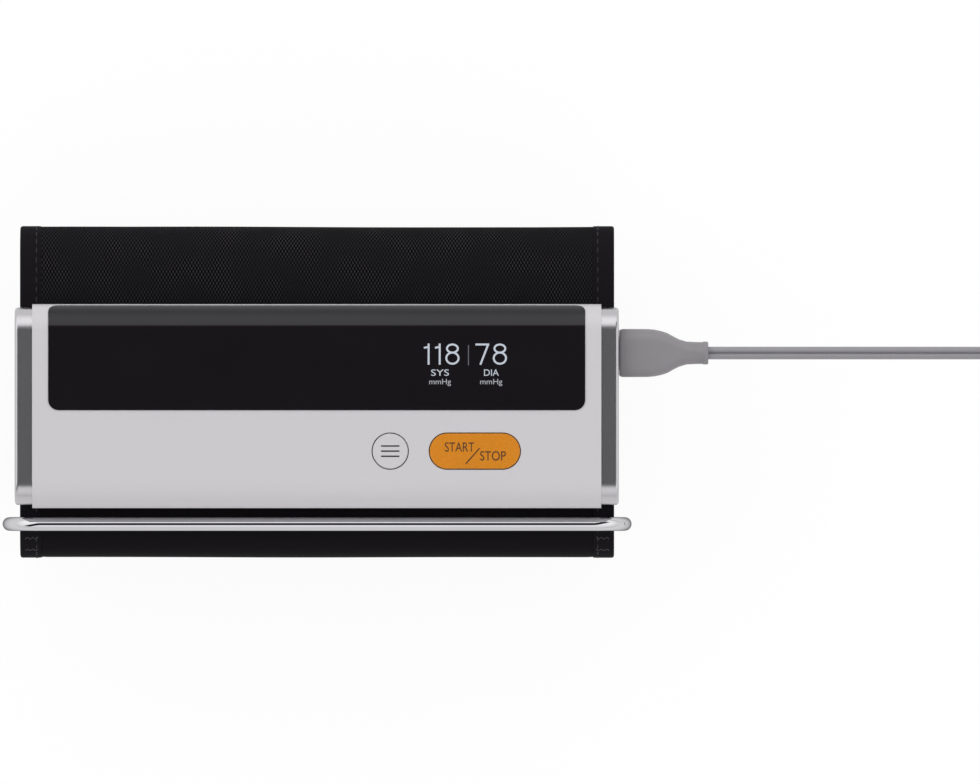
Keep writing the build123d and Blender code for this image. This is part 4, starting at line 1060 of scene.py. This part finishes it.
@dataclass
class Lettering:
    """Lit reading behind the window and the marks printed on the buttons, in millimetres."""

    stroke: float = 0.46
    number_low: float = 6.65
    number_high: float = 11.8
    ones: Point = (26.1, 28.8)  # left ends of their flags
    flag: float = 1.15  # reach of a 1's flag, its drop below the top, and its stroke
    flag_drop: float = 0.95
    flag_stroke: float = 0.45
    eights: Point = (33.05, 44.6)  # middles
    waist: float = 9.6  # of an 8, and half the widths of its upper and lower bowl
    bowls: Point = (1.55, 1.725)
    seven: float = 38.65  # left end of its top bar, the bar's width, and where the stem ends
    seven_width: float = 3.1
    seven_foot: float = 1.2

    def numbers(self, face: Face) -> list[Piece]:
        """Draws 118 and 78.

        Args:
            face: The window's face.

        Returns:
            Their strokes.
        """
        low, high, stroke = self.number_low, self.number_high, self.stroke
        strokes = []
        for left in self.ones:
            stem, flag = left + self.flag, high - self.flag_drop
            strokes.append(face.bar((stem, low), (stem, high), stroke))
            strokes.append(face.bar((left, flag - 0.1), (stem, flag + 0.15), self.flag_stroke))
        upper, lower = self.bowls
        for x in self.eights:
            strokes.append(face.hoop(stroke, x - upper, x + upper, self.waist - stroke / 2, high))
            strokes.append(face.hoop(stroke, x - lower, x + lower, low, self.waist + stroke / 2))
        top, corner = high - stroke / 2, self.seven + self.seven_width
        strokes.append(face.bar((self.seven, top), (corner + 0.25, top), stroke))
        strokes.append(face.bar((self.seven + self.seven_foot, low), (corner, top), stroke))
        return strokes

    def reading(self) -> None:
        """Two numbers, what each one is, and the rule between them."""
        face = Face(0.0, 0.0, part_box("display_window")[1][2])
        numbers = self.numbers(face)
        names = [face.write("SYS", 27.85, 32.2, 3.95, 5.5), face.write("DIA", 40.75, 44.35, 3.95, 5.5)]
        units = [face.write("mmHg", 27.4, 32.7, 1.45, 3.2), face.write("mmHg", 39.8, 45.2, 1.45, 3.2)]
        rule = face.bar((36.95, 6.5), (36.95, 11.4), 0.24)
        for mark, name, stuff in (
            (join(numbers), "display_numbers", Stuff.DIGITS),
            (join(names), "display_names", Stuff.DIGITS),
            (join(units), "display_units", Stuff.UNITS),
            (rule, "display_rule", Stuff.RULE),
        ):
            settle(mark, name, stuff, "monitor")

    def buttons(self) -> None:
        """START over STOP with a stroke between them, and the three lines of the menu button."""
        face = Face.on("start_button")
        marks = [face.write("START", -7.3, -0.15, -0.15, 2.15), face.write("STOP", 1.3, 7.55, -2.3, 0.0)]
        marks.append(face.bar((-2.2, -3.1), (1.2, 0.75), 0.28))
        settle(join(marks), "start_marks", Stuff.INK, "start_key")
        face = Face.on("menu_button")
        lines = [face.bar((-2.25, y), (2.25, y), 0.36) for y in (-1.25, 0.0, 1.25)]
        settle(join(lines), "menu_marks", Stuff.MENU_INK, "menu_key")

    def build(self) -> None:
        """Writes everything."""
        self.reading()
        self.buttons()


# ---- Charging lead ----
def smooth_line(points: Sequence[Vector]) -> list[Vector]:
    """Finds the smooth line that a route's points control.

    Args:
        points: The route's points.

    Returns:
        Points close together along the line.
    """
    curve = bpy.data.curves.new("line", "CURVE")
    curve.dimensions = "3D"
    spline = curve.splines.new("NURBS")
    spline.points.add(len(points) - 1)
    for spot, point in zip(spline.points, points):
        spot.co = (*point, 1.0)
    spline.order_u = 3
    spline.use_endpoint_u = True
    spline.resolution_u = 6
    line = bpy.data.objects.new("line", curve)
    bpy.context.collection.objects.link(line)
    bpy.context.view_layer.update()
    mesh = bpy.data.meshes.new_from_object(line.evaluated_get(bpy.context.evaluated_depsgraph_get()))
    found = [vertex.co.copy() for vertex in mesh.vertices]
    bpy.data.objects.remove(line)
    bpy.data.meshes.remove(mesh)
    bpy.data.curves.remove(curve)
    return found


def rounded(width: float, height: float, corner: float) -> list[Point]:
    """Rounded rectangle about the origin, nine points to a corner.

    Args:
        width: Its size along Y.
        height: Its size along Z.
        corner: Radius of its corners, if it has room for them.

    Returns:
        Its points, as Y and Z.
    """
    radius = min(corner, width / 2 - 0.05 * MM, height / 2 - 0.05 * MM)
    spots = []
    for quarter, (side_y, side_z) in enumerate(((1, 1), (-1, 1), (-1, -1), (1, -1))):
        for step in range(9):
            angle = math.radians(90 * quarter + 90 * step / 8)
            y = side_y * (width / 2 - radius) + radius * math.cos(angle)
            spots.append((y, side_z * (height / 2 - radius) + radius * math.sin(angle)))
    return spots


@dataclass
class Lead:
    """Charging lead: grip and plug at the port, twin cable, coil, tie and charger plug."""

    cable: float = 3.1 * MM
    lobe: float = 0.82 * MM
    lobe_height: float = 1.3 * MM
    tie_angle: float = -115.0
    tie_width: float = 6.0 * MM
    tie_thickness: float = 0.45 * MM
    real_length: float = 0.955
    coil_turns: int = 4
    upper_turns: float = 3.25
    steps_per_turn: int = 16
    climb_steps: int = 5
    outer_turn: float = 23.2 * MM
    inner_turn: float = 10.8 * MM
    upper_turn: float = 20.9 * MM
    coil_reach: float = 143.6 * MM  # from the strain relief to the coil's middle
    coil_leave: float = 16.3 * MM  # from its middle to where the cable goes on to the charger
    lift: float = 0.6 * MM

    def __post_init__(self) -> None:
        """Takes the lead's ends from the frame's boxes."""
        self.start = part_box("charging_cable")[0][0]
        _, self.port_y, self.port_z = middle_of("usb_plug_boot")
        self.low_z = self.lift + self.cable / 2
        self.high_z = self.lift + 1.5 * self.cable
        self.coil_x = self.start + self.coil_reach
        self.coil_y = self.port_y - self.outer_turn

    def route(self) -> list[Vector]:
        """Runs down to the table, winds inwards on it and outwards on top, and on to the charger.

        Returns:
            Points that control the cable's line.
        """
        # Millimetres from the strain relief, with those below the port or above the table
        falls = [(0.0, 0.0), (16.6, 0.0), (36.6, 0.5), (55.6, 2.6), (71.6, 7.6), (83.6, 16.6)]
        falls += [(93.1, 28.6), (100.6, 41.6)]
        down = [(x, self.port_z - fall * MM) for x, fall in falls]
        down += [(x, self.low_z + rise * MM) for x, rise in ((109.1, 5.45), (120.6, 0.0), (130.6, 0.0))]
        points = [Vector((self.start + x * MM, self.port_y, z)) for x, z in down]
        lower = self.coil_turns * self.steps_per_turn
        upper = round(self.upper_turns * self.steps_per_turn)
        for step in range(1, lower + upper + 1):
            above = max(0, step - lower)
            if above:
                radius = self.inner_turn + (self.upper_turn - self.inner_turn) * above / upper
            else:
                radius = self.outer_turn + (self.inner_turn - self.outer_turn) * step / lower
            z = self.low_z + (self.high_z - self.low_z) * min(1.0, above / self.climb_steps)
            angle = math.pi / 2 - math.tau * step / self.steps_per_turn
            x, y = self.coil_x + radius * math.cos(angle), self.coil_y + radius * math.sin(angle)
            points.append(Vector((x, y, z)))
        # Millimetres past the coil's last point
        x, y, top = self.coil_x + self.upper_turn, self.coil_y - self.coil_leave, self.high_z
        plug_z = middle_of("charger_plug_body")[2]
        away = [(0.0, 0.0, top), (0.0, -8.2, top), (-2.9, -17.5, top - 0.45 * MM)]
        away += [(-9.9, -24.5, plug_z + 0.25 * MM), (-19.4, -27.5, plug_z), (-27.9, -27.5, plug_z)]
        return points + [Vector((x + dx * MM, y + dy * MM, z)) for dx, dy, z in away]

    def twin_section(self) -> list[Point]:
        """Section of the twin cable, two cores side by side.

        Returns:
            Its points, as sideways and upwards.
        """
        apart = self.cable / 2 - self.lobe
        waist = math.degrees(math.acos(-apart / self.lobe))
        spots = []
        for side in (1, -1):
            for step in range(11):
                angle = math.radians(-waist + 2 * waist * step / 10)
                across = apart + self.lobe * math.cos(angle)
                spots.append((side * across, side * self.lobe_height * math.sin(angle)))
        return spots

    def cord(self) -> tuple[Piece, list[Vector]]:
        """Sweeps the twin section along the whole smooth line.

        Returns:
            The cable and the points that it follows.
        """
        line = smooth_line(self.route())
        section = self.twin_section()
        columns, rows = len(section), len(line) - 1
        along = [0.0]
        for before, after in zip(line, line[1:]):
            along.append(along[-1] + (after - before).length)

        def spot(column: int, row: int) -> Spot:
            """Places of one point of the section where the line has got to."""
            way = (line[min(row + 1, rows)] - line[max(row - 1, 0)]).normalized()
            side = Vector((way.y, -way.x, 0)).normalized()
            across, above = section[column % columns]
            place = line[row] + side * across + side.cross(way) * above
            return place, (column * 0.4 * MM, along[row])

        cable = lay_grid(columns, rows, spot)
        with editing():
            bpy.ops.mesh.remove_doubles(threshold=MERGE)
            bpy.ops.mesh.fill_holes(sides=0)
            bpy.ops.mesh.normals_make_consistent()
        LOG.info("lead: %.3f m", along[-1])
        return cable, line

    def mould(self, name: str, node: str, corner: float, shape: Sequence[Section]) -> Piece:
        """Extrudes a grip from section to section, in place of its CAD node.

        Args:
            name: Its name.
            node: The CAD node.
            corner: Radius of its long edges.
            shape: Distance along X, width and height of its sections, in millimetres.

        Returns:
            The new piece.
        """
        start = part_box(node)[0][0]
        _, middle_y, middle_z = middle_of(node)
        outlines = [rounded(width * MM, height * MM, corner) for _, width, height in shape]
        gap = 1 * MM  # between sections while they are extruded
        start_clean()
        bpy.ops.mesh.primitive_circle_add(vertices=len(outlines[0]), radius=5 * gap, fill_type="NGON")
        grip = bpy.context.object
        with editing():
            for _ in shape[1:]:
                bpy.ops.mesh.extrude_region_move(TRANSFORM_OT_translate={"value": (0, 0, gap)})
        rings: list[list[bpy.types.MeshVertex]] = [[] for _ in shape]
        for vertex in grip.data.vertices:
            rings[round(vertex.co.z / gap)].append(vertex)
        for ring, outline, (x, _, _) in zip(rings, outlines, shape):
            ring.sort(key=lambda v: (math.atan2(v.co.y, v.co.x) + 0.01) % math.tau)
            for vertex, (y, z) in zip(ring, outline):
                vertex.co = (start + x * MM, middle_y + y, middle_z + z)
        with editing():
            bpy.ops.mesh.normals_make_consistent()
        return settle(grip, name, Stuff.GRIP, "charging_lead", [node])

    def grips(self) -> list[Piece]:
        """Grip with a small lip at the port, and grip with a ringed strain relief at the charger.

        Returns:
            Both pieces.
        """
        port = [(0.0, 10.9, 6.4), (0.25, 11.4, 6.9), (0.7, 11.7, 7.2), (3.5, 11.74, 7.2), (7.0, 11.7, 7.2)]
        port += [(8.6, 11.4, 7.15), (10.2, 10.75, 7.0), (11.8, 9.7, 6.75), (13.2, 8.1, 6.4)]
        port += [(14.6, 6.7, 5.9), (16.4, 5.6, 5.5), (18.6, 5.38, 5.3), (20.3, 5.34, 5.25)]
        port += [(20.5, 5.6, 5.5), (21.4, 5.6, 5.5), (21.7, 5.2, 5.2)]
        charger = [(0.0, 14.6, 7.1), (0.4, 15.3, 7.8), (1.0, 15.4, 7.9), (16.8, 15.4, 7.9)]
        charger += [(17.8, 15.1, 7.7), (18.6, 13.6, 7.3), (19.4, 9.6, 6.6), (20.2, 7.6, 6.3)]
        for ring in range(4):
            x, groove = 20.9 + 1.75 * ring, 6.1 - 0.2 * ring
            charger += [(x, 6.9 - 0.25 * ring, 6.2), (x + 0.15, groove, 5.6)]
            charger += [(x + 0.75, groove, 5.6), (x + 0.9, 6.8 - 0.25 * ring, 6.0)]
        charger.append((28.0, 5.3, 5.2))
        return [
            self.mould("plug_grip", "usb_plug_boot", 2.9 * MM, port),
            self.mould("charger_grip", "charger_plug_body", 2.4 * MM, charger),
        ]

    def tie(self) -> Piece:
        """Flat rubber tie that hugs the coil's bundle.

        Returns:
            The new piece.
        """
        inner, upper, outer = self.inner_turn - 0.85 * MM, self.upper_turn, self.outer_turn + 0.7 * MM
        middle = (inner + upper) / 2
        low, high = 0.1 * MM, self.high_z + self.cable / 2 + 0.2 * MM
        bundle = [(middle, high), (upper, high), (outer, self.low_z + self.cable / 2)]
        bundle += [(outer, low), (inner, low), (inner, high), (middle, high)]
        radii = [radius * MM for radius in (1.3, 1.3, 0.9, 0.9, 1.2)]
        half, bevel, dip = self.tie_width / 2, 0.4 * MM, 0.12 * MM
        section = [(-half, dip), (-half + bevel, 0.0), (half - bevel, 0.0), (half, dip)]
        tie = Cloth(Route(bundle, radii, 1.5 * MM), section, self.tie_thickness, closed=True).lay()
        turn = Matrix.Rotation(math.radians(self.tie_angle - 90), 4, "Z")
        tie.data.transform(Matrix.Translation((self.coil_x, self.coil_y, 0)) @ turn)
        return settle(tie, "rubber_tie", Stuff.TIE, "charging_lead", ["cable_tie"])

    def contacts(self) -> Piece:
        """Four gold contacts on the charger plug's block.

        Returns:
            The new piece.
        """
        low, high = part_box("charger_plug_tongue")
        face = Face(low[0], middle_of("charger_plug_tongue")[1], high[2], lift=0.15 * MM)
        strips = []
        for y, start in ((-3.75, 1.2), (-1.25, 2.2), (1.25, 2.2), (3.75, 1.2)):
            strips.append(face.bar((start, y), (start + 7.5, y), 1.0))
        return settle(join(strips), "charger_contacts", Stuff.GOLD, "charging_lead")

    def build(self) -> None:
        cable, line = self.cord()
        under = ["charging_cable", "cable_coil", "cable_tail"]
        settle(cable, "twin_cable", Stuff.JACKET, "charging_lead", under)
        on_it = [*self.grips(), self.contacts(), self.tie()]
        names = ("usb_plug_shell", "charger_plug_shell", "charger_plug_tongue")
        on_it += [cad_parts[name] for name in names]


# ---- What the frame's own solids are made of ----
SOLID_FINISHES = {
    Stuff.PANEL: ["front_cover", "menu_button"],
    Stuff.REAR: ["rear_cover"],
    Stuff.CAP: ["end_cap_left", "end_cap_right"],
    Stuff.WINDOW: ["display_window"],
    Stuff.START: ["start_button"],
    Stuff.CHROME: ["d_ring"],
    Stuff.GRIP: ["usb_plug_boot", "charging_cable", "cable_coil", "cable_tail", "charger_plug_body"],
    Stuff.PLATE: ["usb_socket_shell", "usb_plug_shell", "charger_plug_shell"],
    Stuff.TONGUE: ["usb_socket_tongue", "charger_plug_tongue"],
    Stuff.TIE: ["cable_tie"],
    Stuff.HOOK: [
        "hook_patch", "cuff_outer_fabric", "cuff_lining", "closing_strap", "ring_sleeve",
        "edge_binding_left", "edge_binding_right", "strap_binding_left", "strap_binding_right",
    ],
    Stuff.SHEET: ["cuff_stiffener", "mounting_plate"],
    Stuff.BLADDER: ["air_bladder"],
    Stuff.BOARD: ["main_board"],
    Stuff.STEEL: ["air_pump", "housing_screws", "board_screws", "mount_screws"],
    Stuff.FOIL: ["battery"],
    Stuff.SILICONE: ["pump_hose", "valve_hose", "sensor_hose"],
    Stuff.INNER: [
        "air_manifold", "air_nipple", "bleed_valve", "pressure_sensor", "switch_bodies",
        "menu_plunger", "start_plunger", "display_module", "board_parts",
    ],
}


def dress_solids() -> None:
    """Gives each of the frame's solids the finish of the real piece, those under new pieces too."""
    for stuff, names in SOLID_FINISHES.items():
        for name in names:
            dress(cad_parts[name], stuff)
    dressed = {name for names in SOLID_FINISHES.values() for name in names}
    for name in sorted(set(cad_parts) - dressed):
        LOG.warning("%s has no finish", name)


# ---- Studio ----
@dataclass
class Studio:
    """Pale floor, soft light from both sides and a camera straight above the object."""

    height: float = 8.5
    aim_x: float = 42.2 * MM
    focus_z: float = 62 * MM
    picture_width: float = 238.8 * MM
    floor_z: float = -0.15 * MM
    floor_size: float = 7.0
    floor_glow: float = 1.03
    floor_direct: float = 0.9  # share of the glow in what is seen directly, the rest keeps the shadow
    brightest: float = 1.34
    horizon_light: float = 0.85
    tent_deg: Point = (90.0, 38.0)
    slot_half: Point = (0.24, 0.36)
    slot_reach_deg: Point = (62.0, 40.0)
    slot_light: float = 0.01
    mirror_deg: Point = (84.0, 70.0)  # below these, mirrors show the plain background
    lean: float = 0.25

    def floor(self) -> None:
        """Sheet of white paper that keeps a soft shadow."""
        start_clean()
        bpy.ops.mesh.primitive_plane_add(size=self.floor_size, location=(0, 0, self.floor_z))
        floor = bpy.context.object
        floor.name = "paper_floor"
        material = bpy.data.materials.new("paper_white")
        material.use_nodes = True
        tree = material.node_tree
        paper = {"Base Color": linear("#E6E6E6"), "Roughness": 0.95, "Specular IOR Level": 0.0}
        fill(tree, tree.nodes["Principled BSDF"], paper)
        direct = self._rays(tree, "Is Camera Ray", "Is Glossy Ray", "Is Transmission Ray")
        share = add_node(tree, "Math", [direct, self.floor_direct], operation="MULTIPLY")
        white = add_node(tree, "Emission", {"Color": (1, 1, 1, 1), "Strength": self.floor_glow})
        mix = add_node(tree, "MixShader", [share, tree.nodes["Principled BSDF"], white])
        fill(tree, tree.nodes["Material Output"], {"Surface": mix})
        floor.data.materials.append(material)

    def sky(self) -> None:
        """Soft light of two wide sources, with a dark slot between them that runs overhead."""
        world = bpy.data.worlds.new("studio")
        bpy.context.scene.world = world
        world.use_nodes = True
        tree = world.node_tree
        where = add_node(tree, "TexCoord").outputs["Generated"]
        way = add_node(tree, "SeparateXYZ", [where]).outputs
        height = way["Z"]
        tent = self._fade(tree, height, self.tent_deg, (self.horizon_light, self.brightest))
        across = add_node(tree, "Math", [way["X"], way["Y"]], operation="SUBTRACT")
        across = add_node(tree, "Math", [across], operation="ABSOLUTE")
        inside = [across, *self.slot_half, 1.0, 0.0]
        slot = add_node(tree, "MapRange", inside, interpolation_type="SMOOTHSTEP")
        reach = self._fade(tree, height, self.slot_reach_deg, (0.0, 1.0 - self.slot_light))
        dark = add_node(tree, "Math", [slot, reach], operation="MULTIPLY")
        bright = add_node(tree, "Math", [1.0, dark], operation="SUBTRACT")
        light = add_node(tree, "Math", [tent, bright], operation="MULTIPLY")
        lean = add_node(tree, "Math", [way["Y"], self.lean, 1.0], operation="MULTIPLY_ADD")
        light = add_node(tree, "Math", [light, lean], operation="MULTIPLY")
        mirrored = self._rays(tree, "Is Glossy Ray", "Is Transmission Ray")
        low = self._fade(tree, height, self.mirror_deg, (1.0, 0.0))
        mirrored = add_node(tree, "Math", [mirrored, low], operation="MULTIPLY")
        direct = add_node(tree, "Math", [self._rays(tree, "Is Camera Ray"), mirrored], operation="MAXIMUM")
        mixed = {"Factor": direct, "A": light, "B": 1.0}
        strength = add_node(tree, "Mix", mixed, data_type="FLOAT")
        fill(tree, tree.nodes["Background"], {"Color": (1, 1, 1, 1), "Strength": strength})

    @staticmethod
    def _rays(tree: Tree, *kinds: str) -> Node:
        """Picks out kinds of ray.

        Args:
            tree: Node tree that takes the nodes.
            kinds: The kinds, as the light path names them.

        Returns:
            Node that gives 1 for a ray of these kinds.
        """
        path = add_node(tree, "LightPath").outputs
        picked: Any = 0.0
        for kind in kinds:
            picked = add_node(tree, "Math", [picked, path[kind]], operation="MAXIMUM")
        return picked

    @staticmethod
    def _fade(tree: Tree, height: bpy.types.NodeSocket, angles: Point, values: Point) -> Node:
        """Smooth change of light with height, between an outer and an inner angle from the zenith."""
        ends = [math.cos(math.radians(angle)) for angle in angles]
        return add_node(tree, "MapRange", [height, *ends, *values], interpolation_type="SMOOTHSTEP")

    def camera(self) -> None:
        """Camera with a long lens, far above the object."""
        data = bpy.data.cameras.new("camera")
        data.lens = data.sensor_width * (self.height - self.focus_z) / self.picture_width
        data.clip_end = 50.0
        camera = bpy.data.objects.new("camera", data)
        bpy.context.collection.objects.link(camera)
        camera.location = (self.aim_x, 0.0, self.height)
        bpy.context.scene.camera = camera

    def build(self) -> None:
        """Sets up the studio."""
        self.floor()
        self.sky()
        self.camera()
        bpy.context.scene.view_settings.view_transform = "Standard"


def main() -> None:
    """Builds the looks."""
    logging.basicConfig(level=logging.INFO, format="%(name)s %(message)s")
    Studio().build()
    Lead().build()
    dress_solids()
    Cuff().build()
    Ring().build()
    RingSleeve().build()
    Lettering().build()


if __name__ == "__main__":
    main()
